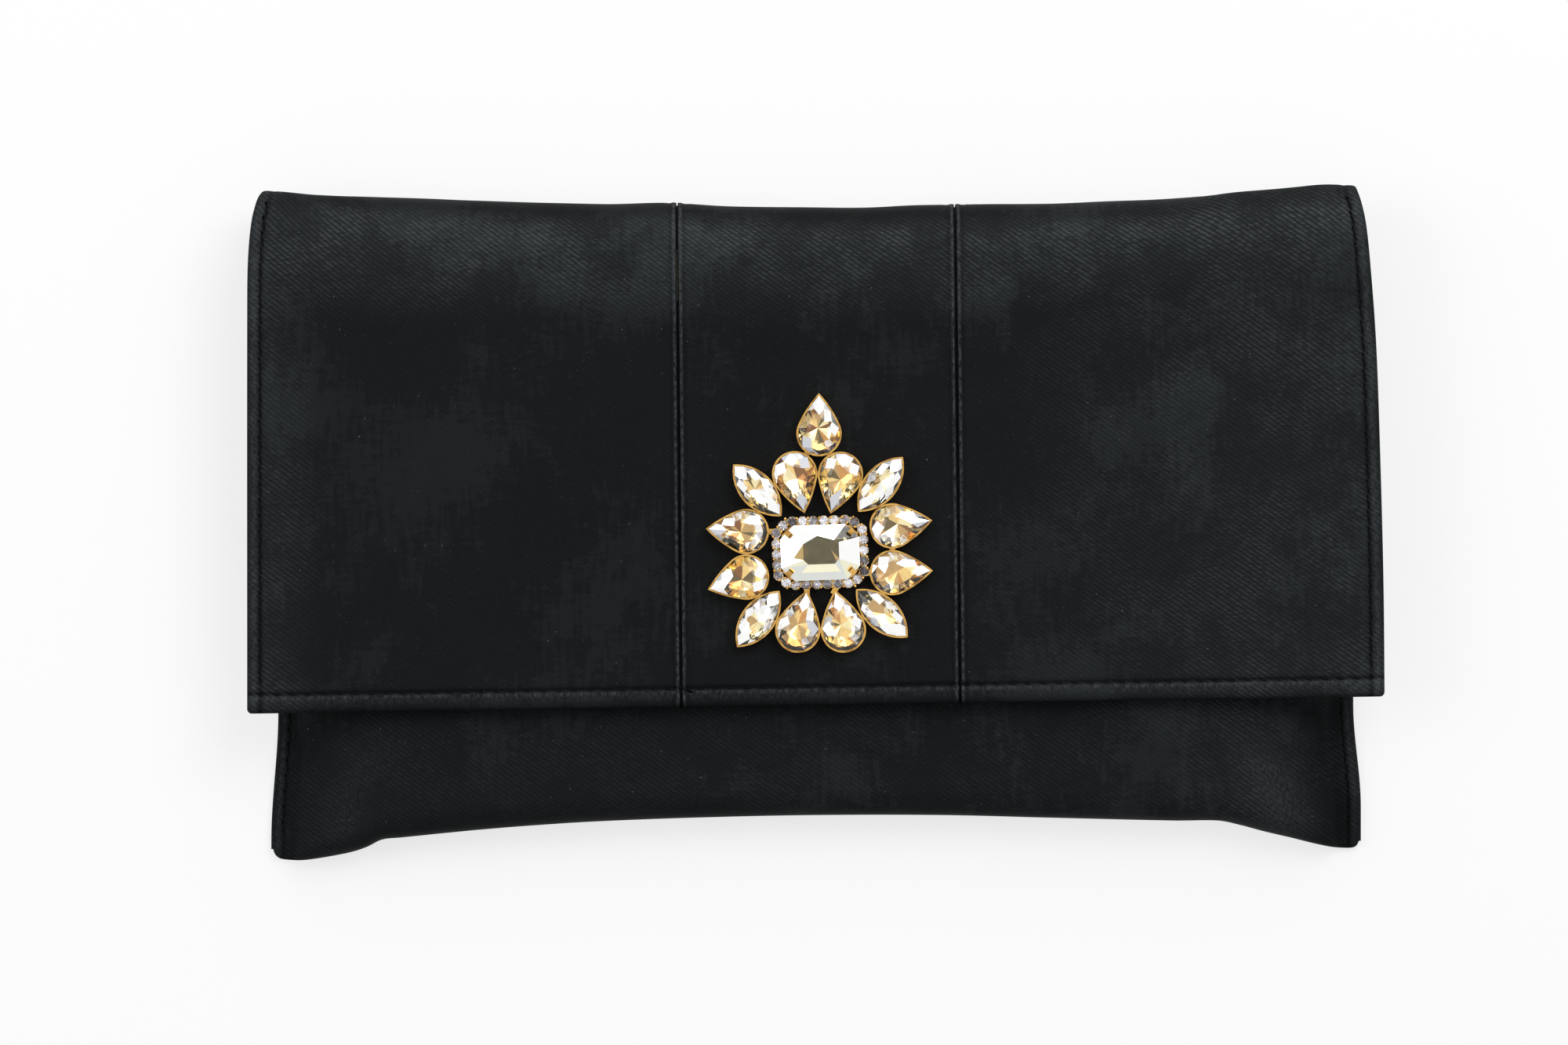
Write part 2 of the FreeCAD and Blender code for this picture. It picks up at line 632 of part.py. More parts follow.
WALL_CORE = ("Sizes.satin + Sizes.layer_gap", "Sizes.satin + Sizes.layer_gap + Sizes.pouch_stiffener")
FRONT_BOARD_TOP = "Sizes.mouth_turn + Sizes.satin + Sizes.board_fit"


def front_plate(label, start, stop, width):
    """Make a flat layer inside the pouch's front between two runs below the mouth."""
    body = new_body(label)
    sketch = new_sketch(body, "YZ_Plane")
    draw_polygon(sketch, [on_front(start, WALL_CORE[0]), on_front(stop, WALL_CORE[0]),
                          on_front(stop, WALL_CORE[1]), on_front(start, WALL_CORE[1])])
    pad(body, sketch, width, both_ways=True)
    parts.append(body)
    return body


FRONT_RUN = "Layout.mouth_y + Sizes.purse_height / 2 - Sizes.base_sag - Sizes.base_clear"
front_board = front_plate("pouch_front_board", FRONT_BOARD_TOP, FRONT_RUN,
                          "Sizes.flat_width - 2 * Sizes.board_fit")
front_plate("mouth_hem", "Sizes.satin", "Sizes.satin + Sizes.mouth_turn",
            "Sizes.flat_width - 2 * Sizes.board_fit")


def flat_plate(label, corners, low, high):
    """Pad a polygon of (x, y) expressions between two heights."""
    body = new_body(label)
    sketch = new_sketch(body, "XY_Plane", low)
    draw_polygon(sketch, corners)
    pad(body, sketch, f"({high}) - ({low})")
    parts.append(body)
    return body


def rectangle(left, right, low, high):
    """Return a rectangle's corners from four expressions."""
    return [(left, low), (right, low), (right, high), (left, high)]


back_half = "Sizes.flat_width / 2"
flat_plate("pouch_back_board",
           rectangle(f"-({back_half})", back_half,
                     "-Sizes.purse_height / 2 + Sizes.base_sag + Sizes.base_clear",
                     "Layout.fold_y - Sizes.board_fit"),
           WALL_CORE[0], WALL_CORE[1])

POCKET_TOP = "Layout.mouth_y - Sizes.pocket_drop"
POCKET_LOW = "Layout.mouth_y - Sizes.pocket_drop - Sizes.pocket_depth"
POCKET_Z = "Layout.wall_thickness + Sizes.layer_gap"
slip_pocket = flat_plate("slip_pocket",
                         rectangle("-Sizes.pocket_width / 2", "Sizes.pocket_width / 2",
                                   POCKET_LOW, POCKET_TOP),
                         POCKET_Z, f"{POCKET_Z} + Sizes.lining")
pocket_band = new_sketch(slip_pocket, "XY_Plane", f"{POCKET_Z} + Sizes.lining")
draw_polygon(pocket_band, rectangle("-Sizes.pocket_width / 2", "Sizes.pocket_width / 2",
                                    f"{POCKET_TOP} - Sizes.pocket_hem", POCKET_TOP))
pad(slip_pocket, pocket_band, "Sizes.lining")

SEAM_LOW = "Sizes.satin + Sizes.layer_gap"
SEAM_HIGH = "Sizes.seam_height - Sizes.satin - Sizes.layer_gap"
for side, label in ((-1, "left_side_seam"), (1, "right_side_seam")):
    outer_x = f"{side} * (Sizes.pouch_width / 2 - Sizes.layer_gap)"
    inner_x = f"{side} * (Sizes.pouch_width / 2 - Sizes.seam_flange + Sizes.layer_gap)"
    flat_plate(label, rectangle(inner_x, outer_x, "-Sizes.purse_height / 2 + 2 * Sizes.seam_height",
                                "Layout.mouth_y"), SEAM_LOW, SEAM_HIGH)


# ---------------------------------------------------------------- magnetic snap
WINDOW = "Sizes.snap_radius + Sizes.window_fit"


def round_window(body, pair):
    """Cut the round window in a board that a snap washer lies in."""
    sketch = new_sketch(body, "XY_Plane")
    draw_circle(sketch, "0", pair[0], WINDOW)
    cut_through(body, sketch)


def add_prongs(body, low, high, foot_low, foot_high):
    """Add two prongs with outward feet to a snap half; heights are expressions."""
    for side in (-1, 1):
        near = f"{side} * (Sizes.prong_spread - Sizes.snap_wall / 2)"
        far = f"{side} * (Sizes.prong_spread + Sizes.snap_wall / 2)"
        tip = f"{side} * (Sizes.prong_spread + Sizes.prong_foot)"
        leg = new_sketch(body, "XY_Plane", low)
        draw_polygon(leg, rectangle(near, far, "-Sizes.prong_width / 2", "Sizes.prong_width / 2"))
        pad(body, leg, f"({high}) - ({low})")
        foot = new_sketch(body, "XY_Plane", foot_low)
        draw_polygon(foot, rectangle(near, tip, "-Sizes.prong_width / 2", "Sizes.prong_width / 2"))
        pad(body, foot, f"({foot_high}) - ({foot_low})")


def snap_washer(label, low, place):
    """Make the slotted washer that the prongs are bent over."""
    body = new_body(label, place)
    high = f"({low}) + Sizes.snap_wall"
    rim = "Sizes.snap_radius - Sizes.washer_inset"
    revolve(body, [("Sizes.washer_hole", low), (rim, low), (rim, high), ("Sizes.washer_hole", high)])
    slots = new_sketch(body, "XY_Plane")
    for side in (-1, 1):
        draw_polygon(slots, rectangle(
            f"{side} * (Sizes.prong_spread - Sizes.snap_wall / 2 - Sizes.washer_fit)",
            f"{side} * (Sizes.prong_spread + Sizes.snap_wall / 2 + Sizes.washer_fit)",
            "-Sizes.prong_width / 2 - Sizes.washer_fit", "Sizes.prong_width / 2 + Sizes.washer_fit"))
    cut_through(body, slots)
    parts.append(body)


SNAP_ON_FRONT = on_front("Layout.snap_run - Layout.mouth_run", "-Sizes.cup_seat")
SNAP_ON_FLAP = on_flap("Layout.snap_run", "Layout.flap_thickness + Sizes.cup_seat")
socket_place = sloped_place(SNAP_ON_FRONT)
stud_place = sloped_place(SNAP_ON_FLAP)

socket_hole = "Sizes.stud_radius + Sizes.stud_fit"
socket = new_body("snap_socket", socket_place)
revolve(socket, [
    ("Sizes.snap_radius - Sizes.snap_wall", "Sizes.snap_wall"),
    ("Sizes.snap_radius", "Sizes.snap_wall"),
    ("Sizes.snap_radius", "Sizes.socket_height - Sizes.snap_bevel"),
    ("Sizes.snap_radius - Sizes.snap_bevel", "Sizes.socket_height"),
    (socket_hole, "Sizes.socket_height"),
    (socket_hole, "Sizes.socket_height - Sizes.snap_wall"),
    ("Sizes.snap_radius - Sizes.snap_wall", "Sizes.socket_height - Sizes.snap_wall"),
])
parts.append(socket)

socket_base = new_body("snap_socket_base", socket_place)
revolve(socket_base, [("0", "0"), ("Sizes.snap_radius", "0"), ("Sizes.snap_radius", "Sizes.snap_wall"),
                      ("0", "Sizes.snap_wall")])
WASHER_DROP = "Sizes.cup_seat + Sizes.satin + Sizes.layer_gap"
SOCKET_FOOT = f"-({WASHER_DROP} + Sizes.snap_wall + Sizes.prong_fit)"
add_prongs(socket_base, f"{SOCKET_FOOT} - Sizes.snap_wall", "0", f"{SOCKET_FOOT} - Sizes.snap_wall",
           SOCKET_FOOT)
parts.append(socket_base)

magnet = new_body("snap_magnet", socket_place)
magnet_low = "Sizes.snap_wall + Sizes.magnet_rise"
magnet_high = "Sizes.socket_height - Sizes.snap_wall - Sizes.magnet_rise"
magnet_rim = "Sizes.snap_radius - Sizes.snap_wall - Sizes.magnet_fit"
revolve(magnet, [(socket_hole, magnet_low), (magnet_rim, magnet_low), (magnet_rim, magnet_high),
                 (socket_hole, magnet_high)])
parts.append(magnet)
snap_washer("snap_socket_washer", f"-({WASHER_DROP} + Sizes.snap_wall)", socket_place)

stud = new_body("snap_stud", stud_place)
revolve(stud, [
    ("0", "0"),
    ("Sizes.snap_radius", "0"),
    ("Sizes.snap_radius", "-Sizes.stud_plate + Sizes.snap_bevel"),
    ("Sizes.snap_radius - Sizes.snap_bevel", "-Sizes.stud_plate"),
    ("Sizes.stud_radius", "-Sizes.stud_plate"),
    ("Sizes.stud_radius", "-Sizes.stud_plate - Sizes.stud_length + Sizes.snap_bevel"),
    ("Sizes.stud_radius - Sizes.snap_bevel", "-Sizes.stud_plate - Sizes.stud_length"),
    ("0", "-Sizes.stud_plate - Sizes.stud_length"),
])
STUD_RISE = "Sizes.cup_seat + Sizes.lining + Sizes.layer_gap"
STUD_FOOT = f"{STUD_RISE} + Sizes.snap_wall + Sizes.prong_fit"
add_prongs(stud, "0", f"{STUD_FOOT} + Sizes.snap_wall", STUD_FOOT, f"{STUD_FOOT} + Sizes.snap_wall")
parts.append(stud)
snap_washer("snap_stud_washer", STUD_RISE, stud_place)

round_window(front_board, SNAP_ON_FRONT)
round_window(flap_board, SNAP_ON_FLAP)

lining_slots = new_sketch(flap_lining, "XY_Plane")
for side in (-1, 1):
    draw_polygon(lining_slots, rectangle(
        f"{side} * (Sizes.prong_spread - Sizes.snap_wall / 2 - Sizes.slot_fit)",
        f"{side} * (Sizes.prong_spread + Sizes.snap_wall / 2 + Sizes.slot_fit)",
        f"{SNAP_ON_FLAP[0]} - Sizes.prong_width / 2 - Sizes.slot_fit",
        f"{SNAP_ON_FLAP[0]} + Sizes.prong_width / 2 + Sizes.slot_fit"))
cut_through(flap_lining, lining_slots)


# ---------------------------------------------------------------- brooch
BROOCH_RUN = f"Layout.flap_straight - Sizes.brooch_rise / cos({SLOPE})"
brooch_place = sloped_place(on_flap(BROOCH_RUN, "-Sizes.cup_seat"), "Sizes.brooch_x")


def brooch_spot(x, y, turn):
    """Return the placement of a cup: its middle on the brooch and the way its tip points."""
    reach = size("brooch_reach")
    return brooch_place.multiply(Placement(Vector(x * reach, y * reach, 0), Rotation(Vector(0, 0, 1), turn)))


# Middle of each cup from the centre stone, as shares of the brooch's reach, and the direction
# of its tip in degrees.
PEARS = (
    ("top", -0.010, 1.000, 90),
    ("upper_left", -0.185, 0.553, -76),
    ("upper_right", 0.142, 0.549, -104),
    ("left_upper", -0.648, 0.169, 176),
    ("right_upper", 0.631, 0.218, 8),
    ("left_lower", -0.643, -0.214, 198),
    ("right_lower", 0.634, -0.155, 3),
    ("bottom_left", -0.161, -0.545, 77),
    ("bottom_right", 0.168, -0.544, 102),
)
NAVETTES = (
    ("upper_left", -0.495, 0.488, 133),
    ("upper_right", 0.474, 0.535, 51),
    ("lower_left", -0.487, -0.523, 233),
    ("lower_right", 0.484, -0.479, -43),
)


def pear_sides(grow):
    """Return the pear outline's numbers: round centre, side centre, tip and tangent angle."""
    round_x, round_r, side_r = size("pear_round_x"), size("pear_round"), size("pear_side")
    tip_x = size("pear_length") / 2
    reach = tip_x - round_x
    arm = side_r - round_r
    cosine = (reach ** 2 + arm ** 2 - side_r ** 2) / (2 * reach * arm)
    side_x = round_x + arm * cosine
    side_y = -arm * math.sqrt(1 - cosine ** 2)
    new_tip = side_x + math.sqrt((side_r + grow) ** 2 - side_y ** 2)
    return round_x, (side_x, side_y), new_tip, math.atan2(-side_y, round_x - side_x)


def draw_pear(sketch, grow):
    """Draw a pear outline, grown from the stone's own by an expression."""
    extra = number(sketch, grow)
    round_x, side, tip, tangent = pear_sides(extra)
    big, small = size("pear_side") + extra, size("pear_round") + extra
    tip_angle = math.atan2(-side[1], tip - side[0])
    upper = draw_arc(sketch, side, big, tip_angle, tangent)
    middle = draw_arc(sketch, (round_x, 0), small, tangent, 2 * math.pi - tangent)
    lower = draw_arc(sketch, (side[0], -side[1]), big, 2 * math.pi - tangent, 2 * math.pi - tip_angle)
    sketch.addConstraint(Sketcher.Constraint("Tangent", upper, 2, middle, 1))
    sketch.addConstraint(Sketcher.Constraint("Tangent", middle, 2, lower, 1))
    sketch.addConstraint(Sketcher.Constraint("Coincident", lower, 2, upper, 1))
    sketch.addConstraint(Sketcher.Constraint("PointOnObject", middle, 3, -1))
    sketch.addConstraint(Sketcher.Constraint("PointOnObject", upper, 1, -1))
    sketch.addConstraint(Sketcher.Constraint("Equal", upper, lower))
    bind(sketch, "DistanceX", middle, 3, "Layout.pear_round_x")
    bind(sketch, "Radius", middle, None, f"Layout.pear_round + ({grow})")
    bind(sketch, "Radius", upper, None, f"Sizes.pear_side + ({grow})")
    sketch.addConstraint(Sketcher.Constraint("DistanceX", upper, 1, tip))


def navette_half(grow):
    """Return half the length of a navette outline grown by an amount."""
    side_y = size("navette_side") - size("navette_width") / 2
    return math.sqrt((size("navette_side") + grow) ** 2 - side_y ** 2)


def draw_navette(sketch, grow):
    """Draw a navette outline, grown from the stone's own by an expression."""
    extra = number(sketch, grow)
    radius = size("navette_side") + extra
    drop = size("navette_side") - size("navette_width") / 2
    half = navette_half(extra)
    lean = math.atan2(drop, half)
    upper = draw_arc(sketch, (0, -drop), radius, lean, math.pi - lean)
    lower = draw_arc(sketch, (0, drop), radius, math.pi + lean, 2 * math.pi - lean)
    sketch.addConstraint(Sketcher.Constraint("Coincident", upper, 2, lower, 1))
    sketch.addConstraint(Sketcher.Constraint("Coincident", lower, 2, upper, 1))
    sketch.addConstraint(Sketcher.Constraint("Equal", upper, lower))
    sketch.addConstraint(Sketcher.Constraint("PointOnObject", upper, 3, -2))
    sketch.addConstraint(Sketcher.Constraint("PointOnObject", lower, 3, -2))
    bind(sketch, "DistanceY", upper, 3, "Sizes.navette_width / 2 - Layout.navette_side")
    bind(sketch, "DistanceY", lower, 3, "Layout.navette_side - Sizes.navette_width / 2")
    bind(sketch, "Radius", upper, None, f"Layout.navette_side + ({grow})")


def draw_octagon(sketch, grow):
    """Draw the cut-corner outline of the centre stone, grown by an expression."""
    half_x = f"(Sizes.octagon_length / 2 + ({grow}))"
    half_y = f"(Sizes.octagon_width / 2 + ({grow}))"
    cut = f"(Sizes.octagon_cut + ({grow}) * (2 - sqrt(2)))"
    draw_polygon(sketch, [
        (f"{half_x} - {cut}", f"-{half_y}"), (half_x, f"{cut} - {half_y}"),
        (half_x, f"{half_y} - {cut}"), (f"{half_x} - {cut}", half_y),
        (f"{cut} - {half_x}", half_y), (f"-{half_x}", f"{half_y} - {cut}"),
        (f"-{half_x}", f"{cut} - {half_y}"), (f"{cut} - {half_x}", f"-{half_y}"),
    ])


def setting_cup(label, draw, place, grow="Layout.cup_grow"):
    """Make a setting cup: a wall round the stone, a ledge that carries it and a floor."""
    body = new_body(label, place)
    outline = new_sketch(body, "XY_Plane")
    draw(outline, grow)
    pad(body, outline, "Sizes.cup_height")
    mouth = new_sketch(body, "XY_Plane", "Sizes.cup_height")
    draw(mouth, "Sizes.stone_fit")
    pocket(body, mouth, "Sizes.girdle_drop")
    well = new_sketch(body, "XY_Plane", "Sizes.cup_height")
    draw(well, "-Sizes.ledge")
    pocket(body, well, "Sizes.cup_height - Sizes.cup_floor")
    parts.append(body)
    return body


def polyhedron(facets):
    """Return the closed solid with these flat facets, each a list of points."""
    faces = []
    for facet in facets:
        points = [Vector(*point) for point in facet]
        faces.append(Part.Face(Part.makePolygon(points + points[:1])))
    shell = Part.makeShell(faces)
    solid = Part.makeSolid(shell)
    if solid.Volume < 0:
        solid.reverse()
    return solid


def ring(outline, middle, share, height):
    """Scale an outline about a middle point and lift it."""
    return [(middle + (x - middle) * share, y * share, height) for x, y in outline]


def brilliant(outline, middle, seat, girdle, crown, pavilion):
    """Return a stone with a table, star, kite and girdle facets and a pointed pavilion."""
    count = len(outline)
    top = seat + girdle
    table = ring(outline, middle, size("table_share"), top + crown)
    mains = ring(outline, middle, size("main_share"), top + crown * size("main_rise"))
    upper = ring(outline, middle, 1.0, top)
    lower = ring(outline, middle, 1.0, seat)
    culet = (middle, 0.0, seat - pavilion)
    facets = [[table[i] for i in range(0, count, 2)]]
    for i in range(0, count, 2):
        after, further = i + 1, (i + 2) % count
        before = (i - 1) % count
        facets.append([table[i], mains[after], table[further]])
        facets.append([table[i], upper[i], mains[after]])
        facets.append([table[i], mains[before], upper[i]])
        facets.append([mains[after], upper[i], upper[after]])
        facets.append([mains[after], upper[after], upper[further]])
    for i in range(count):
        after = (i + 1) % count
        facets.append([upper[i], lower[i], lower[after], upper[after]])
        facets.append([lower[i], culet, lower[after]])
    return polyhedron(facets)


def step_cut(rest, girdle, crown, pavilion):
    """Return the cut-corner centre stone: stepped crown, overhanging girdle, stepped pavilion."""
    half_x, half_y, cut = size("octagon_length") / 2, size("octagon_width") / 2, size("octagon_cut")
    over, keel = size("centre_overhang"), size("keel_inset")

    def level(inset_x, inset_y, corner, height):
        """Return the outline moved in by its insets, with a corner cut, at a height."""
        x, y = half_x - inset_x, half_y - inset_y
        points = [(x - corner, -y), (x, corner - y), (x, y - corner), (x - corner, y),
                  (corner - x, y), (-x, y - corner), (-x, corner - y), (corner - x, -y)]
        return [(px, py, height) for px, py in points]

    top = rest + girdle
    levels = [level(size("table_inset_x"), size("table_inset_y"), size("table_cut"), top + crown),
              level(size("step_inset"), size("step_inset"), size("step_cut"),
                    top + crown * size("step_rise")),
              level(-over, -over, cut + 2 * over, top), level(-over, -over, cut + 2 * over, rest),
              level(0.0, 0.0, cut, rest - size("waist_drop")),
              level(size("lower_inset"), size("lower_inset"), size("keel_cut"),
                    rest - pavilion * size("lower_drop")),
              level(keel, keel, size("keel_cut"), rest - pavilion)]
    facets = [levels[0], levels[-1]]
    for above, below in zip(levels, levels[1:]):
        for i in range(8):
            after = (i + 1) % 8
            facets.append([above[i], below[i], below[after], above[after]])
    return polyhedron(facets)


def arc_run(centre, radius, start, end, count):
    """Return points spaced evenly along an arc, without its ends."""
    step = (end - start) / (count + 1)
    return [(centre[0] + radius * math.cos(start + step * i), centre[1] + radius * math.sin(start + step * i))
            for i in range(1, count + 1)]


def pear_corners():
    """Return the twelve girdle corners of a pear stone, from its tip round."""
    round_x, side, tip, tangent = pear_sides(0.0)
    big = size("pear_side")
    tip_angle = math.atan2(-side[1], tip - side[0])
    upper = arc_run(side, big, tip_angle, tangent, 2)
    middle = arc_run((round_x, 0), size("pear_round"), tangent - 0.25, 2 * math.pi - tangent + 0.25, 5)
    upper.append((round_x + size("pear_round") * math.cos(tangent), size("pear_round") * math.sin(tangent)))
    lower = [(x, -y) for x, y in reversed(upper)]
    return [(tip, 0.0)] + upper + middle + lower


def navette_corners():
    """Return the twelve girdle corners of a navette stone, from its tip round."""
    half = navette_half(0.0)
    drop = size("navette_side") - size("navette_width") / 2
    lean = math.atan2(drop, half)
    upper = arc_run((0, -drop), size("navette_side"), lean, math.pi - lean, 5)
    lower = [(-x, -y) for x, y in upper]
    return [(half, 0.0)] + upper + [(-half, 0.0)] + lower


SEAT = size("seat_z") + size("stone_lift")
pear_stone = brilliant(pear_corners(), size("pear_round_x") * 0.6, SEAT, size("girdle"), size("crown"),
                       size("pavilion"))
navette_stone = brilliant(navette_corners(), 0.0, SEAT, size("girdle"), size("crown"), size("pavilion"))

for name, x, y, turn in PEARS:
    spot = brooch_spot(x, y, turn)
    setting_cup(f"pear_cup_{name}", draw_pear, spot)
    parts.append(shape_part(f"pear_stone_{name}", pear_stone, spot))
for name, x, y, turn in NAVETTES:
    spot = brooch_spot(x, y, turn)
    setting_cup(f"navette_cup_{name}", draw_navette, spot)
    parts.append(shape_part(f"navette_stone_{name}", navette_stone, spot))

centre_spot = brooch_spot(0.0, 0.0, size("centre_turn"))
CENTRE_REST = size("cup_height") + size("centre_rest")
centre_setting = setting_cup("centre_setting", draw_octagon, centre_spot, "Layout.centre_grow")
parts.append(shape_part("centre_stone",
                        step_cut(CENTRE_REST, size("girdle"), size("centre_crown"), size("pavilion")),
                        centre_spot))

# Four claws over the cut corners of the centre stone, on the wall of its setting.
CLAW_X = "(Sizes.octagon_length - Sizes.octagon_cut) / 2"
CLAW_Y = "(Sizes.octagon_width - Sizes.octagon_cut) / 2"
CLAW_LOW = "Sizes.cup_height + Sizes.centre_rest + Sizes.girdle + Sizes.claw_lift"
CLAW_HIGH = f"{CLAW_LOW} + Sizes.claw_thickness"


def claw_corners(side_x, side_y, inner, outer):
    """Return a claw's plan: a bar square to a cut corner, between two distances from its edge."""
    corners = []
    for along, over in ((inner, -1), (outer, -1), (outer, 1), (inner, 1)):
        sideways = f"({side_x * side_y * over} * Sizes.claw_width / 2)"
        step_x = f"{side_x} * (({along}) - {sideways}) / sqrt(2)"
        step_y = f"{side_y} * (({along}) + {sideways}) / sqrt(2)"
        corners.append((f"{side_x} * ({CLAW_X}) + {step_x}", f"{side_y} * ({CLAW_Y}) + {step_y}"))
    return corners


for side_x in (-1, 1):
    for side_y in (-1, 1):
        post = new_sketch(centre_setting, "XY_Plane", "Sizes.cup_floor")
        draw_polygon(post, claw_corners(side_x, side_y, "Sizes.stone_fit", "Layout.centre_grow"))
        pad(centre_setting, post, f"({CLAW_HIGH}) - Sizes.cup_floor")
        claw = new_sketch(centre_setting, "XY_Plane", CLAW_LOW)
        draw_polygon(claw, claw_corners(side_x, side_y, "-Sizes.claw_reach", "Layout.centre_grow"))
        pad(centre_setting, claw, f"({CLAW_HIGH}) - ({CLAW_LOW})")

# Halo: small cups round the centre setting on a flat ring, each with its crystal.
HALO_MARGIN = size("centre_grow") + size("halo_fit") + size("halo_cup_radius")
HALO_X = size("octagon_length") / 2 + HALO_MARGIN
HALO_Y = size("octagon_width") / 2 + HALO_MARGIN
HALO_CUT = size("octagon_cut") + HALO_MARGIN * (2 - math.sqrt(2))
HALO_SIDES = 8


def halo_path():
    """Return the corners of the halo's centre line."""
    return [(HALO_X - HALO_CUT, -HALO_Y), (HALO_X, HALO_CUT - HALO_Y), (HALO_X, HALO_Y - HALO_CUT),
            (HALO_X - HALO_CUT, HALO_Y), (HALO_CUT - HALO_X, HALO_Y), (-HALO_X, HALO_Y - HALO_CUT),
            (-HALO_X, HALO_CUT - HALO_Y), (HALO_CUT - HALO_X, -HALO_Y)]


def halo_spots():
    """Return evenly spaced points round the halo's centre line, the first over the middle."""
    corners = halo_path()
    edges = [(a, b, math.dist(a, b)) for a, b in zip(corners, corners[1:] + corners[:1])]
    whole = sum(length for _, _, length in edges)
    count = int(size("halo_count"))
    spots = []
    for i in range(count):
        travelled = whole * (i + 0.5) / count
        for (ax, ay), (bx, by), length in edges:
            if travelled <= length:
                share = travelled / length
                spots.append((ax + (bx - ax) * share, ay + (by - ay) * share))
                break
            travelled -= length
    return spots


def prism(radius, low, high, sides=HALO_SIDES):
    """Return an upright prism with a regular outline, its flats facing X and Y."""
    turn = math.pi / sides
    points = [Vector(radius * math.cos(turn + 2 * math.pi * i / sides),
                     radius * math.sin(turn + 2 * math.pi * i / sides), low) for i in range(sides)]
    return Part.Face(Part.makePolygon(points + points[:1])).extrude(Vector(0, 0, high - low))


def octagon_ring(inner, outer, low, high):
    """Return a flat ring that follows the halo, between two distances from its centre line."""
    faces = []
    for grow in (outer, -inner):
        cut = HALO_CUT + grow * (2 - math.sqrt(2))
        x, y = HALO_X + grow, HALO_Y + grow
        points = [Vector(*p, low) for p in ((x - cut, -y), (x, cut - y), (x, y - cut), (x - cut, y),
                                            (cut - x, y), (-x, y - cut), (-x, cut - y), (cut - x, -y))]
        faces.append(Part.Face(Part.makePolygon(points + points[:1])).extrude(Vector(0, 0, high - low)))
    return faces[0].cut(faces[1])


def regular_corners(radius):
    """Return the girdle corners of a round halo crystal."""
    return [(radius * math.cos(2 * math.pi * i / HALO_SIDES), radius * math.sin(2 * math.pi * i / HALO_SIDES))
            for i in range(HALO_SIDES)]


RING_HALF = size("halo_ring_width") / 2
HALO_SEAT = size("halo_cup_height") - size("halo_girdle_drop")
WELL_RADIUS = (size("halo_stone_radius") + size("stone_fit")) / math.cos(math.pi / HALO_SIDES)
halo_ring = octagon_ring(RING_HALF, RING_HALF, 0.0, size("halo_ring_height"))
wells = []
crystals = []
for x, y in halo_spots():
    cup = prism(size("halo_cup_radius"), 0.0, size("halo_cup_height"))
    cup.translate(Vector(x, y, 0))
    halo_ring = halo_ring.fuse(cup)
    well = prism(WELL_RADIUS, size("halo_floor"), size("halo_cup_height") + 1)
    well.translate(Vector(x, y, 0))
    wells.append(well)
    crystal = brilliant(regular_corners(size("halo_stone_radius")), 0.0, HALO_SEAT, size("halo_girdle"),
                        size("halo_crown"), HALO_SEAT - size("halo_floor") - size("cup_seat"))
    crystal.translate(Vector(x, y, 0))
    crystals.append(crystal)
halo_solid = halo_ring.cut(Part.Compound(wells)).removeSplitter()
parts.append(shape_part("halo_setting", halo_solid, centre_spot))
parts.append(shape_part("halo_crystals", Part.Compound(crystals), centre_spot))

# Solder bridges: short rods between neighbouring cups, trimmed to the cups that they join.
BRIDGES = (
    ("pear_cup_top", "pear_cup_upper_left"),
    ("pear_cup_top", "pear_cup_upper_right"),
    ("pear_cup_upper_left", "pear_cup_upper_right"),
    ("pear_cup_left_upper", "pear_cup_left_lower"),
    ("pear_cup_right_upper", "pear_cup_right_lower"),
    ("pear_cup_bottom_left", "pear_cup_bottom_right"),
    ("pear_cup_left_upper", "halo_setting"),
    ("pear_cup_right_lower", "halo_setting"),
    ("pear_cup_bottom_left", "halo_setting"),
    ("pear_cup_bottom_right", "halo_setting"),
    ("navette_cup_upper_left", "pear_cup_upper_left"),
    ("navette_cup_upper_left", "pear_cup_left_upper"),
    ("navette_cup_upper_right", "pear_cup_upper_right"),
    ("navette_cup_upper_right", "pear_cup_right_upper"),
    ("navette_cup_lower_left", "pear_cup_bottom_left"),
    ("navette_cup_lower_left", "pear_cup_left_lower"),
    ("navette_cup_lower_right", "pear_cup_bottom_right"),
    ("navette_cup_lower_right", "pear_cup_right_lower"),
)
doc.recompute()
labelled = {part.Label: part for part in parts}
cup_names = [name for name in labelled if "_cup_" in name]


def filled(label):
    """Return a cup's outer shape without its hollow, in the brooch's own frame."""
    shape = labelled[label].Shape.copy()
    shape.transformShape(brooch_place.inverse().toMatrix())
    foot = [face for face in shape.Faces if abs(face.CenterOfMass.z) < 1e-6
            and abs(face.normalAt(0, 0).z) > 0.99]
    outline = Part.Face(max(foot, key=lambda face: face.Area).OuterWire)
    return outline.extrude(Vector(0, 0, size("cup_height")))


solid_cups = {name: filled(name) for name in cup_names + ["halo_setting"]}
bridge_height = size("bridge_high") - size("bridge_low")
bridges = []
for first, second in BRIDGES:
    gap, spots, _ = solid_cups[first].distToShape(solid_cups[second])
    start, end = spots[0]
    across_gap = Vector(end.x - start.x, end.y - start.y, 0)
    if not size("bridge_least") <= gap <= size("bridge_reach"):
        raise RuntimeError(f"{first} and {second} are {gap:.2f} apart")
    bar = Part.makeBox(gap + 2, size("bridge_width"), bridge_height,
                       Vector(-1, -size("bridge_width") / 2, size("bridge_low")))
    turn = math.degrees(math.atan2(across_gap.y, across_gap.x))
    bar.Placement = Placement(Vector(start.x, start.y, 0), Rotation(Vector(0, 0, 1), turn))
    for cup in solid_cups.values():
        if bar.BoundBox.intersect(cup.BoundBox):
            bar = bar.cut(cup)
    bridges.append(max(bar.Solids, key=lambda solid: solid.Volume))
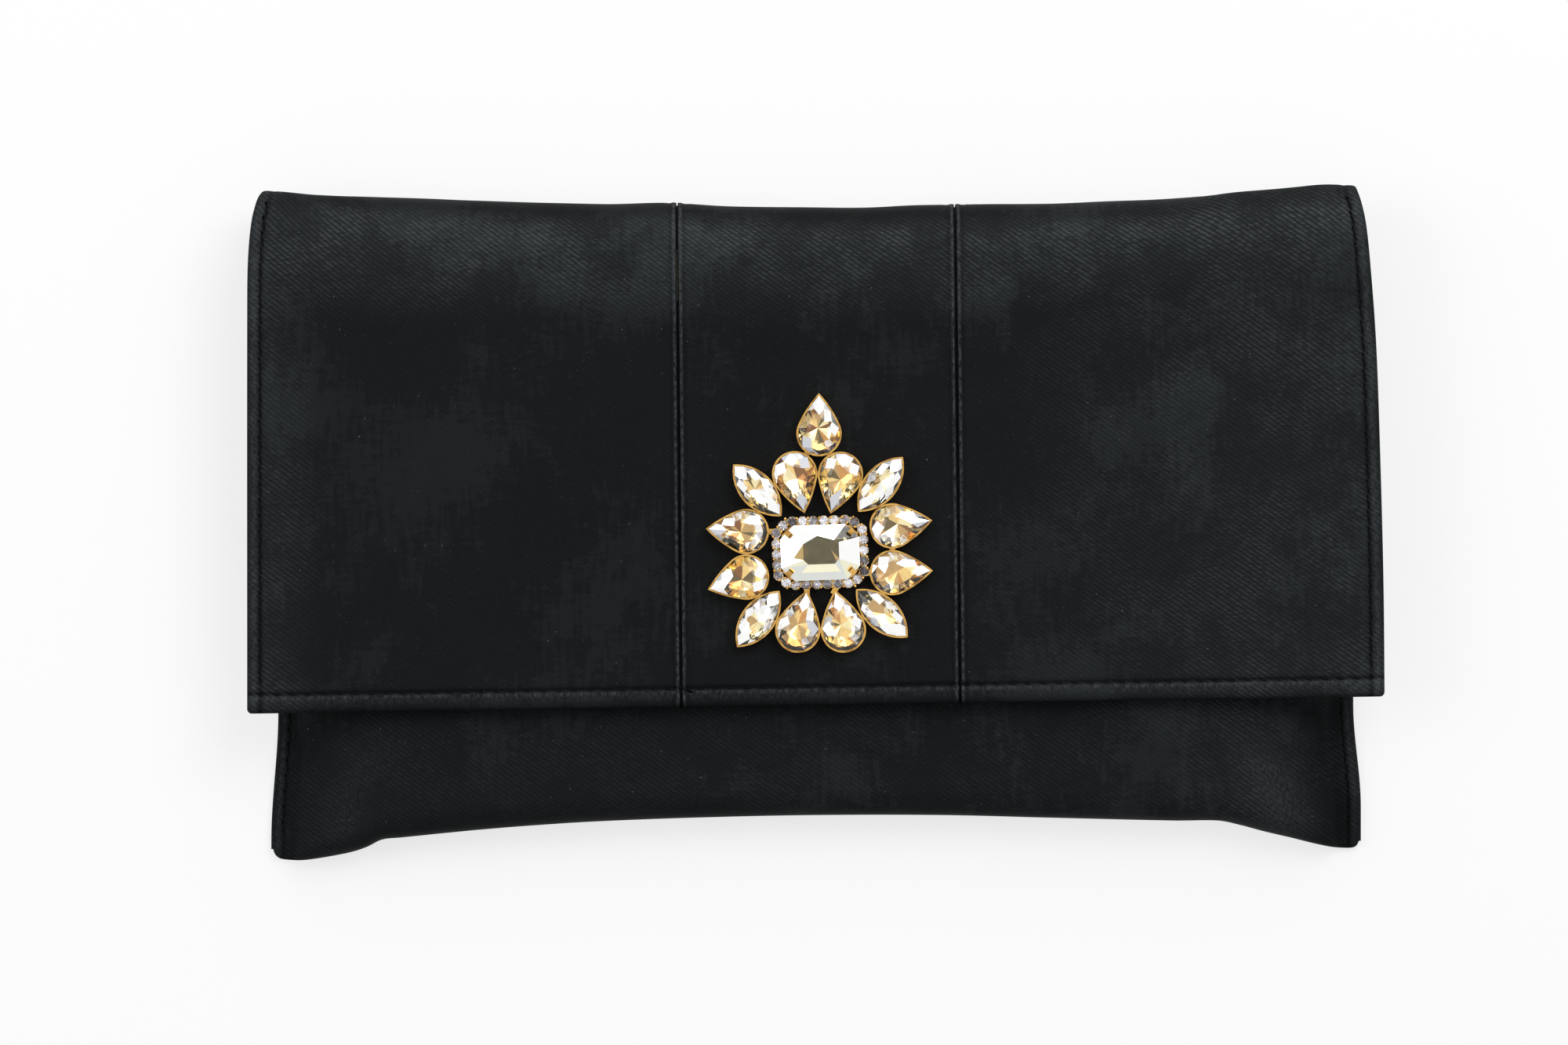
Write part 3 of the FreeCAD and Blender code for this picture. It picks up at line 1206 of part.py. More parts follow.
parts.append(shape_part("solder_bridges", Part.Compound(bridges), brooch_place))

# Posts under the navette cups, through the satin and the board, held by push-on retainers.
skin_to_board = size("satin") + size("layer_gap") + size("flap_stiffener")
post_low = -(size("cup_seat") + skin_to_board)
counterbore = size("retainer_rise") + size("retainer_thickness") + size("retainer_gap")
posts = []
retainers = []
post_spots = [(x * size("brooch_reach"), y * size("brooch_reach")) for _name, x, y, _turn in NAVETTES]
for x, y in post_spots:
    posts.append(Part.makeCylinder(size("post_radius"), -post_low, Vector(x, y, post_low)))
    foot = Vector(x, y, post_low + size("retainer_rise"))
    washer = Part.makeCylinder(size("retainer_radius"), size("retainer_thickness"), foot)
    hole = Part.makeCylinder(size("post_radius") + size("retainer_grip"), size("retainer_thickness"), foot)
    retainers.append(washer.cut(hole))
parts.append(shape_part("brooch_posts", Part.Compound(posts), brooch_place))
parts.append(shape_part("brooch_retainers", Part.Compound(retainers), brooch_place))


def drill(body, x, y, low, radius, depth):
    """Drill a body square to the flap at a place on the brooch, up from a height."""
    before = body.Shape.Volume
    feature = body.newObject("PartDesign::SubtractiveCylinder", body.Label + "_hole")
    feature.Radius = number(sheet, radius)
    feature.setExpression("Radius", radius)
    feature.Height = depth
    feature.Placement = brooch_place.multiply(Placement(Vector(x, y, low), Rotation()))
    doc.recompute()
    if not body.Shape.Volume < before:
        raise RuntimeError(body.Label + ": the hole removed nothing")


for x, y in post_spots:
    drill(flap_centre, x, y, post_low - 1, "Sizes.post_radius + Sizes.post_fit", skin_to_board + 2)
    drill(flap_board, x, y, post_low - 1, "Sizes.post_radius + Sizes.post_fit", skin_to_board + 2)
    drill(flap_board, x, y, post_low - 1, "Sizes.retainer_radius + Sizes.retainer_fit", 1 + counterbore)

# ---------------------------------------------------------------- check and write
doc.recompute()
for item in doc.Objects:
    if "Invalid" in item.State or "Error" in item.State:
        raise RuntimeError(f"{item.Label} failed: {item.State}")
for part in parts:
    if part.Shape.isNull() or not part.Shape.isValid():
        raise RuntimeError(f"{part.Label} has no valid shape")
os.makedirs("parts", exist_ok=True)
for part in parts:
    part.Shape.exportStep(f"parts/{part.Label}.step")
print(f"{len(parts)} sub-parts written")
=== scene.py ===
"""Satin evening clutch with a crystal brooch, dressed over its CAD frame.

The purse lies on its back. +X runs along the fold, +Y from the base to the fold and +Z from the
back to the front flap. Cloth is laid over the frame from named sizes, the stitches and the small
crystals are repeated by geometry nodes, and the stones are cut facet by facet.
"""

from __future__ import annotations

import logging
import random
from dataclasses import asdict, dataclass
from enum import Enum
from math import atan2, copysign, cos, dist, exp, hypot, pi, radians, remainder, sin, sqrt, tan, tau
from typing import Callable, Mapping, Sequence

import bpy
from bpy.types import Material, Mesh, Node, NodeSocket, NodeTree, Object
from mathutils import Matrix, Vector, noise

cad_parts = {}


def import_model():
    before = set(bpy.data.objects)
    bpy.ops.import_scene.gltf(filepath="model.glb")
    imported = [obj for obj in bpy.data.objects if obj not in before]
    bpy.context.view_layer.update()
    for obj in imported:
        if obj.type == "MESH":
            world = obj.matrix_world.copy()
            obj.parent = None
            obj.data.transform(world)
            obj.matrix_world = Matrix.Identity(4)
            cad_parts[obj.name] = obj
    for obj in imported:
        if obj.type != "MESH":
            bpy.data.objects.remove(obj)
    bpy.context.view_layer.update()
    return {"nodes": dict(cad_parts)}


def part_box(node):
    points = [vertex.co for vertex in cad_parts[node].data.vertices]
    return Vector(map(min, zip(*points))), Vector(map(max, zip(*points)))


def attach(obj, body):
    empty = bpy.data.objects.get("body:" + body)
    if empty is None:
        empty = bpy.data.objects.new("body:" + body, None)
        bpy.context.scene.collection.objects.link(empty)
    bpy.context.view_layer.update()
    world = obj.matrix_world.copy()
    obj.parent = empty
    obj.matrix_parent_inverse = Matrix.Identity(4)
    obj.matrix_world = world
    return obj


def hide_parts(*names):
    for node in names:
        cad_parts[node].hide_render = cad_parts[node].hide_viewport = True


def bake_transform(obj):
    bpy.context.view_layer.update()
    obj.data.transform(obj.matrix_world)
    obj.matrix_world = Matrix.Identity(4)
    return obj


LOG = logging.getLogger("clutch")
MM = 0.001
Point = tuple[float, float]
Colour = tuple[float, float, float, float]
# A knot: a point, its flat cloth coordinates and its painted shade or highlight.
Knot = tuple[Vector, Point, float]


# ---- small mathematics
def ease(low: float, high: float, value: float) -> float:
    """Return a smooth step from 0 at low to 1 at high."""
    share = min(1.0, max(0.0, (value - low) / (high - low)))
    return share * share * (3 - 2 * share)


def bell(value: float, centre: float, width: float) -> float:
    """Return a smooth bump of height 1 round a centre."""
    return exp(-(((value - centre) / width) ** 2))


def through(stations: Sequence[Point], x: float) -> float:
    """Return a smooth curve's height at x.

    Args:
        stations: The curve's points, in order of x.
        x: Where to read it.

    Returns:
        The height, held level beyond both ends.
    """
    if x <= stations[0][0]:
        return stations[0][1]
    if x >= stations[-1][0]:
        return stations[-1][1]
    i = max(k for k in range(len(stations) - 1) if stations[k][0] <= x)

    def slope(k: int) -> float:
        """Return the curve's slope at a station."""
        a, b = stations[max(k - 1, 0)], stations[min(k + 1, len(stations) - 1)]
        return (b[1] - a[1]) / (b[0] - a[0])

    (xa, ya), (xb, yb) = stations[i], stations[i + 1]
    run = xb - xa
    s = (x - xa) / run
    return (ya * (1 + 2 * s) * (1 - s) ** 2 + yb * s * s * (3 - 2 * s)
            + run * (slope(i) * s * (1 - s) ** 2 - slope(i + 1) * s * s * (1 - s)))


def graded(start: float, stop: float, step: float, fine: float, zones: Sequence[Point]) -> list[float]:
    """Return places from start to stop, closer together inside the zones.

    Args:
        start: First place.
        stop: Last place.
        step: Spacing outside the zones.
        fine: Spacing inside the zones.
        zones: Pairs of low and high places.

    Returns:
        The places, in rising order.
    """
    places = [start]
    while places[-1] < stop - 1e-7:
        here = places[-1]
        inside = any(low - step <= here <= high for low, high in zones)
        places.append(min(stop, here + (fine if inside else step)))
    if len(places) > 2 and places[-1] - places[-2] < fine * 0.4:
        places.pop(-2)
    return places


# ---- sizes
@dataclass(frozen=True)
class ClutchSizes:
    """The frame's own sizes, in metres, from which every cloth piece is laid out."""

    purse_height: float = 153.0 * MM
    flap_reach: float = 118.0 * MM
    fold_radius: float = 11.0 * MM
    slope: float = radians(1.4)
    flap_thickness: float = 2.2 * MM
    wall_thickness: float = 2.5 * MM
    mouth_y: float = 60.0 * MM
    mouth_z: float = 16.267 * MM
    flat_half: float = 92.0 * MM
    seam_flange: float = 3.5 * MM
    seam_height: float = 1.7 * MM

    @property
    def fold_y(self) -> float:
        """Return the fold centre's place along Y."""
        return self.purse_height / 2 - self.fold_radius

    @property
    def flap_y(self) -> float:
        """Return where the flap leaves the fold, along Y."""
        return self.fold_y - self.fold_radius * sin(self.slope)

    @property
    def flap_z(self) -> float:
        """Return where the flap leaves the fold, along Z."""
        return self.fold_radius * (1 + cos(self.slope))

    @property
    def arc_run(self) -> float:
        """Return the outer skin's length from the middle of the fold to the flap's flat."""
        return self.fold_radius * (pi / 2 + self.slope)

    @property
    def flap_straight(self) -> float:
        """Return the length of the flap's flat."""
        return (self.flap_y - self.purse_height / 2 + self.flap_reach) / cos(self.slope)

    @property
    def flap_run(self) -> float:
        """Return the outer skin's length from the middle of the fold to the flap's lower edge."""
        return self.arc_run + self.flap_straight

    def on_skin(self, run: float, depth: float) -> tuple[float, float]:
        """Return (y, z) on the skin that goes from the back over the fold and down the flap.

        Args:
            run: Length along the skin from the middle of the fold, negative towards the back.
            depth: Depth under the skin.

        Returns:
            The place, in metres.
        """
        quarter = self.fold_radius * pi / 2
        if run < -quarter:
            return self.fold_y + run + quarter, depth
        if run <= self.arc_run:
            angle = run / self.fold_radius
            radius = self.fold_radius - depth
            return (self.fold_y + radius * cos(angle),
                    self.fold_radius + radius * sin(angle))
        down = run - self.arc_run
        return (self.flap_y - down * cos(self.slope) + depth * sin(self.slope),
                self.flap_z - down * sin(self.slope) - depth * cos(self.slope))


@dataclass(frozen=True)
class Outline:
    """How the sewn cloth departs from the straight frame, in metres."""

    sizes: ClutchSizes
    crown: tuple[Point, ...] = (
        (-133, 3.0), (-126, 2.83), (-118, 2.23), (-108, 1.66), (-95, 1.08), (-80, 0.3), (-50, -0.4),
        (-35, -0.2), (-20, -1.1), (0, -1.3), (12, -1.3), (25, -0.8), (55, -0.5), (70, 0.2),
        (85, 1.0), (96, 2.45), (104, 3.1), (112, 3.65), (120, 4.15), (129, 3.75),
    )
    base: tuple[Point, ...] = (
        (-128.5, -75.6), (-128.3, -76.6), (-127.8, -77.6), (-126.8, -78.35), (-125, -78.65),
        (-122, -78.75), (-118, -78.3),
        (-110, -76.8), (-106, -75.5), (-102.5, -73.8), (-98, -73.3), (-80, -71.5), (-65, -70.3),
        (-50, -69.4), (-25, -68.5), (0, -68.0), (30, -68.0), (55, -68.6), (85, -69.3), (95, -69.3),
        (100, -70.3), (106, -71.9), (112, -73.3), (118, -74.8), (122, -75.6), (125, -75.85),
        (127, -75.75), (127.9, -75.2), (128.4, -74.2),
    )
    left_side: tuple[Point, ...] = (
        (-44, 133.5), (52, 133.4), (63, 133.2), (72, 132.4), (76, 131.6), (78, 131.0), (79, 130.4),
    )
    right_side: tuple[Point, ...] = (
        (-44, 133.7), (-14, 133.4), (13, 132.7), (43, 131.6), (63, 130.1), (72, 129.1), (77, 128.1),
        (80, 127.2),
    )

    def crown_rise(self, x: float) -> float:
        """Return how far the fold stands above the frame's at x."""
        return through(self.crown, x / MM) * MM

    def hem_rise(self, x: float) -> float:
        """Return how far the flap's lower edge stands above the frame's at x."""
        return (-0.45 + 0.0152 * x / MM) * MM

    def lift(self, x: float, run: float) -> float:
        """Return the shift along Y of the cloth at a run down the skin.

        Where the crown is high it leans out over the front of the fold, so that the fold's back and
        middle keep clear of the table once the flap is laid open.

        Args:
            x: Place along the fold.
            run: Length down the skin from the middle of the fold.

        Returns:
            The shift, in metres.
        """
        rise = self.crown_rise(x)
        lean = 0.4 + ease(-1 * MM, 7 * MM, run) - 0.4 * ease(7 * MM, 19 * MM, run)
        share = 1 + ease(0.5 * MM, 3.0 * MM, rise) * (lean - 1)
        share *= (1 - ease(4 * MM, 19.3 * MM, -run)) * (1 - ease(0.012, 0.075, run))
        return rise * share + self.hem_rise(x) * ease(0.050, self.sizes.flap_run, run)

    def side(self, right: bool, y: float) -> float:
        """Return the x of the flap's side edge at y."""
        if right:
            return through(self.right_side, y / MM) * MM
        return -through(self.left_side, y / MM) * MM

    def seam(self, right: bool, y: float) -> float:
        """Return the x of the seam between two flap panels at y."""
        share = (y / MM + 42) / 118
        return ((34.0 - 1.3 * share) if right else -(31.5 + 1.1 * share)) * MM

    def base_y(self, x: float) -> float:
        """Return the lowest point of the bottom fold at x."""
        return through(self.base, x / MM) * MM

    def body_half(self, y: float, right: bool) -> float:
        """Return the pouch's half width at y, on its left or right side."""
        if right:
            return (126.6 + 1.8 * ease(-42, -66, y / MM)) * MM
        return (126.4 + 1.65 * ease(-44, -74, y / MM)) * MM


# ---- mesh helpers
def new_mesh_object(name: str, points: Sequence[Vector], faces: Sequence[Sequence[int]],
                    smooth: bool = True) -> Object:
    """Make an object from points and faces.

    Args:
        name: Name of the piece.
        points: Vertex places.
        faces: Vertex numbers of each face, anticlockwise from outside.
        smooth: Whether the faces are shaded smooth.

    Returns:
        The object, linked to the scene.
    """
    mesh = bpy.data.meshes.new(name)
    mesh.from_pydata([tuple(p) for p in points], [], [tuple(f) for f in faces])
    mesh.polygons.foreach_set("use_smooth", [smooth] * len(mesh.polygons))
    mesh.validate()
    mesh.update()
    piece = bpy.data.objects.new(name, mesh)
    bpy.context.scene.collection.objects.link(piece)
    return piece


def grid_object(name: str, grid: Sequence[Sequence[Knot]], flip: bool = False) -> Object:
    """Make a sheet from a grid, with the cloth's own flat coordinates as its UV map.

    Args:
        name: Name of the piece.
        grid: Columns of knots. Each has its point, its flat coordinates in metres and its painted
        shade (below 0) or painted highlight (above 0) there.
        flip: Whether to turn the faces over.

    Returns:
        The sheet.
    """
    columns, rows = len(grid), len(grid[0])
    knots = [column[j] for j in range(rows) for column in grid]
    faces = []
    for j in range(rows - 1):
        for i in range(columns - 1):
            a = j * columns + i
            quad = (a, a + 1, a + columns + 1, a + columns)
            faces.append(quad[::-1] if flip else quad)
    piece = new_mesh_object(name, [point for point, _, _ in knots], faces)
    flat = piece.data.uv_layers.new(name="cloth")
    for loop in piece.data.loops:
        flat.data[loop.index].uv = knots[loop.vertex_index][1]
    shade = piece.data.attributes.new("tone", "FLOAT", "POINT")
    shade.data.foreach_set("value", [tone for _, _, tone in knots])
    return piece


def bake(piece: Object) -> Object:
    """Apply a piece's modifiers to its mesh.

    Args:
        piece: The piece.

    Returns:
        The same piece, with a plain mesh.
    """
    bpy.context.view_layer.update()
    evaluated = piece.evaluated_get(bpy.context.evaluated_depsgraph_get())
    mesh = bpy.data.meshes.new_from_object(evaluated)
    piece.modifiers.clear()
    piece.data = mesh
    mesh.name = piece.name
    return piece


def cut_size(piece: Object) -> tuple[float, float]:
    """Return the width and length that a sheet was cut to, from its own cloth coordinates."""
    layer = piece.data.uv_layers["cloth"].data
    values = [0.0] * (2 * len(layer))
    layer.foreach_get("uv", values)
    return max(values[0::2]) - min(values[0::2]), max(values[1::2]) - min(values[1::2])


def dress(piece: Object, *materials: Material) -> None:
    """Put materials on a piece that has none yet."""
    for material in materials:
        piece.data.materials.append(material)


def finish_sheet(piece: Object, thickness: float, material: Material) -> None:
    """Finish a sheet.

    Args:
        piece: The sheet.
        thickness: Its thickness, on the side away from its faces.
        material: Its material.
    """
    solidify = piece.modifiers.new("thickness", "SOLIDIFY")
    solidify.thickness = thickness
    solidify.offset = -1.0
    solidify.use_even_offset = False
    dress(bake(piece), material)


def dress_node(piece: Object, material: Material) -> None:
    """Put a material on a CAD node."""
    for slot in piece.material_slots:
        slot.material = material


# ---- shader helpers
class Nodes:
    """Short way to add and join nodes in a tree."""

    def __init__(self, tree: NodeTree) -> None:
        """Start with a tree."""
        self.tree = tree

    def put(self, node: Node, inputs: dict) -> Node:
        """Feed a node's inputs, by name or number, with values or sockets, and return the node."""
        for key, value in inputs.items():
            if isinstance(value, NodeSocket):
                self.tree.links.new(value, node.inputs[key])
            else:
                node.inputs[key].default_value = value
        return node

    def add(self, kind: str, inputs: dict | None = None, **settings: object) -> Node:
        """Add a node.

        Args:
            kind: Blender's node type.
            inputs: Values or sockets for its inputs, by name or number.
            settings: The node's own settings.

        Returns:
            The node.
        """
        node = self.tree.nodes.new(kind)
        for key, value in settings.items():
            setattr(node, key, value)
        return self.put(node, inputs or {})

    def out(self, kind: str, inputs: dict | None = None, **settings: object) -> NodeSocket:
        """Add a node and return its first output."""
        return self.add(kind, inputs, **settings).outputs[0]

    def math(self, operation: str, *values: object, clamp: bool = False) -> NodeSocket:
        """Return the result of a sum on numbers or sockets."""
        return self.out("ShaderNodeMath", dict(enumerate(values)), operation=operation, use_clamp=clamp)

    def times(self, first: object, second: object, clamp: bool = False) -> NodeSocket:
        """Return the product of two numbers or sockets."""
        return self.math("MULTIPLY", first, second, clamp=clamp)

    def plus(self, first: object, second: object, clamp: bool = False) -> NodeSocket:
        """Return the sum of two numbers or sockets."""
        return self.math("ADD", first, second, clamp=clamp)

    def less(self, first: object, second: object) -> NodeSocket:
        """Return the first number or socket less the second."""
        return self.math("SUBTRACT", first, second)

    def larger(self, first: object, second: object) -> NodeSocket:
        """Return the larger of two numbers or sockets."""
        return self.math("MAXIMUM", first, second)

    def vector(self, **parts: object) -> NodeSocket:
        """Return a vector made of numbers or sockets for X, Y and Z."""
        return self.out("ShaderNodeCombineXYZ", parts)

    def split(self, vector: object) -> Mapping[str, NodeSocket]:
        """Return the X, Y and Z of a vector."""
        return self.add("ShaderNodeSeparateXYZ", {0: vector}).outputs

    def place(self) -> NodeSocket:
        """Return the place on the piece, in Object coordinates."""
        return self.add("ShaderNodeTexCoord").outputs["Object"]

    def noise(self, vector: object, scale: float, detail: float = 2.0, roughness: float = 0.5) -> NodeSocket:
        """Return a noise value."""
        return self.out("ShaderNodeTexNoise", {"Vector": vector, "Scale": scale, "Detail": detail,
                                               "Roughness": roughness})

    def ramp(self, value: object, low: float, high: float) -> NodeSocket:
        """Return a smooth step of a value."""
        return self.out("ShaderNodeMapRange", {"Value": value, "From Min": low, "From Max": high},
                        interpolation_type="SMOOTHSTEP")

    def stretch(self, vector: object, scale: Sequence[float], turn: float = 0.0) -> NodeSocket:
        """Return coordinates scaled and turned about Z."""
        return self.out("ShaderNodeMapping", {"Vector": vector, "Scale": scale, "Rotation": (0.0, 0.0, turn)})

    def blend(self, share: object, first: object, second: object) -> NodeSocket:
        """Return a mix of two colours."""
        return self.add("ShaderNodeMix", {0: share, 6: first, 7: second}, data_type="RGBA").outputs[2]

    def bump(self, height: object, strength: float, distance: float) -> NodeSocket:
        """Return the normals of a surface with a height."""
        return self.out("ShaderNodeBump", {"Height": height, "Strength": strength, "Distance": distance})

    def painted(self, shape: NodeSocket, material: Material) -> NodeSocket:
        """Return a geometry with its material."""
        return self.out("GeometryNodeSetMaterial", {"Geometry": shape, "Material": material})

    def attribute(self, name: str, kind: str) -> NodeSocket:
        """Return a geometry's named attribute."""
        node = self.add("GeometryNodeInputNamedAttribute", {"Name": name}, data_type=kind)
        return node.outputs["Attribute"]

    def scattered(self, points: NodeSocket, item: NodeSocket, turn: NodeSocket) -> NodeSocket:
        """Return an item repeated at every point, as real geometry."""
        return self.out("GeometryNodeRealizeInstances", {0: self.out(
            "GeometryNodeInstanceOnPoints", {"Points": points, "Instance": item, "Rotation": turn})})


def new_material(name: str) -> tuple[Material, Nodes, Node]:
    """Start a material, and return it with a helper for its tree and its shader."""
    made = bpy.data.materials.new(name)
    made.use_nodes = True
    return made, Nodes(made.node_tree), made.node_tree.nodes["Principled BSDF"]


class TreeKind(Enum):
    """A kind of node tree: its type, its first input's name and type, and its outputs' type."""

    SHADER = ("ShaderNodeTree", "Cloth", "NodeSocketVector", "NodeSocketFloat")
    GEOMETRY = ("GeometryNodeTree", "Geometry", "NodeSocketGeometry", "NodeSocketGeometry")


def new_tree(kind: TreeKind, name: str, sizes: Mapping[str, float],
             outputs: Sequence[str]) -> tuple[Nodes, Mapping[str, NodeSocket], Node]:
    """Start a node tree that takes the cloth's own coordinates, or a geometry, and named sizes.

    Args:
        kind: Which kind of tree.
        name: Its name.
        sizes: Name and default of each size that it takes.
        outputs: Names of what it gives.

    Returns:
        A helper for the tree, the sockets that it takes and its output node.
    """
    tree_type, first, first_type, output_type = kind.value
    tree = bpy.data.node_groups.new(name, tree_type)
    tree.interface.new_socket(name=first, in_out="INPUT", socket_type=first_type)
    for label, size in sizes.items():
        socket = tree.interface.new_socket(name=label, in_out="INPUT", socket_type="NodeSocketFloat")
        socket.default_value = size
    for label in outputs:
        tree.interface.new_socket(name=label, in_out="OUTPUT", socket_type=output_type)
    given = tree.nodes.new("NodeGroupInput")
    return Nodes(tree), given.outputs, tree.nodes.new("NodeGroupOutput")


def float_weave_group() -> NodeTree:
    """Return the satin weave: short floats in stepped rows that read as diagonal ribs.

    Returns:
        A group with the thread height and a mask of the lit floats.
    """
    sizes = {"Float spacing": 1.73 * MM, "Row height": 0.342 * MM, "Step": 0.482 * MM}
    nodes, size, out = new_tree(TreeKind.SHADER, "float_weave", sizes, ("Height", "Float"))
    cloth = nodes.split(size["Cloth"])
    waver = nodes.times(nodes.less(nodes.noise(size["Cloth"], 170.0, 3.0), 0.5), 1.5 * MM)
    along = nodes.plus(cloth["X"], waver)
    rows = nodes.math("DIVIDE", nodes.plus(cloth["Y"], waver), size["Row height"])
    row = nodes.math("FLOOR", rows)
    stepped = nodes.less(along, nodes.times(row, size["Step"]))
    moved = nodes.math("DIVIDE", stepped, size["Float spacing"])
    across = nodes.math("ABSOLUTE", nodes.less(nodes.math("FRACT", moved), 0.5))
    over = nodes.math("ABSOLUTE", nodes.less(nodes.math("FRACT", rows), 0.5))
    width = nodes.plus(nodes.times(nodes.ramp(over, 0.5, 0.1), 0.45), 0.55)
    height = nodes.times(nodes.ramp(across, 0.44, 0.14), width)
    float_place = nodes.vector(X=nodes.math("FLOOR", moved), Y=row)
    flicker = nodes.out("ShaderNodeTexWhiteNoise", {"Vector": float_place}, noise_dimensions="2D")
    lively = nodes.plus(nodes.times(flicker, 0.85), 0.35)
    nodes.put(out, {"Height": height, "Float": nodes.times(height, lively)})
    return nodes.tree


def sheen_patch_group() -> NodeTree:
    """Return soft, streaky patches of painted sheen on the satin, with its lint.

    Returns:
        A group with a mask of the painted sheen patches, a finer mask of lint and the cloth's slow change of
        shade.
    """
    nodes, given, out = new_tree(TreeKind.SHADER, "sheen_patches_and_lint", {"Seed": 0.0}, ("Marks", "Lint", "Shade"))
    shift = nodes.vector(X=given["Seed"], Y=given["Seed"])
    cloth = nodes.out("ShaderNodeVectorMath", {0: given["Cloth"], 1: shift}, operation="ADD")
    broad = nodes.noise(cloth, 26.0, 5.0, 0.62)
    streaks = nodes.noise(nodes.stretch(cloth, (0.25, 1.0, 1.0)), 900.0, 2.0, 0.6)
    upright = nodes.noise(nodes.stretch(cloth, (1.0, 0.16, 1.0)), 700.0, 2.0, 0.6)
    fibres = nodes.plus(nodes.times(nodes.less(streaks, 0.5), 0.22),
                        nodes.times(nodes.less(upright, 0.5), 0.3))
    fluff = nodes.times(nodes.ramp(nodes.noise(cloth, 1250.0, 2.0), 0.66, 0.74), 0.16)
    specks = nodes.ramp(nodes.noise(cloth, 1500.0, 0.0), 0.870, 0.893)
    nodes.put(out, {"Marks": nodes.ramp(nodes.plus(broad, fibres), 0.5, 0.6),
                    "Lint": nodes.larger(specks, fluff), "Shade": nodes.noise(cloth, 9.0, 2.0)})
    return nodes.tree


@dataclass(frozen=True)
class Palette:
    """Colours of the satin, in linear light; bright and glint are painted sheen, the darkest is painted
    shade.
    """

    deep: Colour = (0.0062, 0.0068, 0.0073, 1.0)
    mid: Colour = (0.0088, 0.0099, 0.0107, 1.0)
    bright: Colour = (0.0200, 0.0235, 0.0250, 1.0)
    glint: Colour = (0.0620, 0.0700, 0.0740, 1.0)
    lint: Colour = (0.16, 0.17, 0.17, 1.0)
    painted_shade: Colour = (0.0012, 0.0013, 0.0014, 1.0)


class Glow(Enum):
    """Where a piece of satin catches the light along its own cloth coordinates."""

    FLAP = "flap"
    BODY = "body"
    BACK = "back"


@dataclass(frozen=True)
class SatinFinish:
    """Black duchesse satin with a fine diagonal rib."""

    glow: Glow
    weave: NodeTree
    marks: NodeTree
    seed: float = 0.0
    palette: Palette = Palette()
    roughness: float = 0.56
    specular: float = 0.02

    def lit_zone(self, nodes: Nodes, across: NodeSocket,
                 along: NodeSocket) -> NodeSocket:
        """Return a mask of the zones where the nap catches the light.

        Args:
            nodes: Helper for the material's tree.
            across: Cloth coordinate along the fold.
            along: Cloth coordinate down the skin.

        Returns:
            The mask.
        """
        right = nodes.ramp(across, 0.020, 0.120)
        if self.glow is Glow.FLAP:
            left = nodes.ramp(across, -0.112, -0.132)
            fold = nodes.times(nodes.ramp(along, 0.006, 0.014), nodes.ramp(along, 0.037, 0.016))
            sides = nodes.larger(nodes.times(right, 0.50), nodes.times(left, 0.55))
            return nodes.larger(nodes.times(fold, 0.95), sides)
        if self.glow is Glow.BODY:
            return nodes.larger(nodes.times(right, 0.4), 0.12)
        return nodes.times(right, 0.3)

    def material(self) -> Material:
        """Return the satin's material."""
        made, nodes, shader = new_material("satin_" + self.glow.value)
        shades = self.palette
        cloth = nodes.out("ShaderNodeUVMap", uv_map="cloth")
        weave = nodes.add("ShaderNodeGroup", {"Cloth": cloth}, node_tree=self.weave).outputs
        marks = nodes.add("ShaderNodeGroup", {"Cloth": cloth, "Seed": self.seed},
                          node_tree=self.marks).outputs
        split = nodes.split(cloth)
        zone = self.lit_zone(nodes, split["X"], split["Y"])
        # Mask of soft patches of painted sheen, stronger in the lit zones.
        patch = nodes.times(marks["Marks"], nodes.plus(nodes.times(zone, 0.50), 0.30))
        plain = nodes.blend(marks["Shade"], shades.deep, shades.mid)
        # Painted sheen: the lit zones lighter, and the soft patches lighter still.
        soft = nodes.blend(nodes.times(zone, 0.38), plain, shades.bright)
        sheen_patched = nodes.blend(patch, soft, shades.bright)
        uneven = nodes.ramp(nodes.noise(cloth, 55.0, 4.0, 0.6), 0.38, 0.62)
        patchy = nodes.plus(nodes.times(uneven, 0.9), 0.35)
        strength = nodes.times(nodes.plus(nodes.times(zone, 0.60), 0.03), patchy)
        # Painted glints on the lit floats of the weave.
        lit = nodes.blend(nodes.times(weave["Float"], strength), sheen_patched, shades.glint)
        dusty = nodes.blend(nodes.times(marks["Lint"], 0.5), lit, shades.lint)
        # Painted highlights (above 0) go towards the glint colour, painted shade (below 0) towards the
        # darkest colour.
        tone = nodes.add("ShaderNodeAttribute", attribute_name="tone").outputs["Fac"]
        grain = nodes.ramp(nodes.noise(nodes.stretch(cloth, (1.0, 0.5, 1.0)), 1500.0, 3.0), 0.30, 0.72)
        raised = nodes.times(nodes.larger(tone, 0.0), grain, clamp=True)
        ridged = nodes.blend(raised, dusty, shades.glint)
        sunk = nodes.times(tone, -1.0, clamp=True)
        nodes.put(shader, {"Base Color": nodes.blend(sunk, ridged, shades.painted_shade),
                           "Roughness": nodes.less(self.roughness, nodes.times(weave["Float"], 0.1)),
                           "Specular IOR Level": self.specular,
                           "Normal": nodes.bump(weave["Height"], 0.12, 0.08 * MM)})
        return made


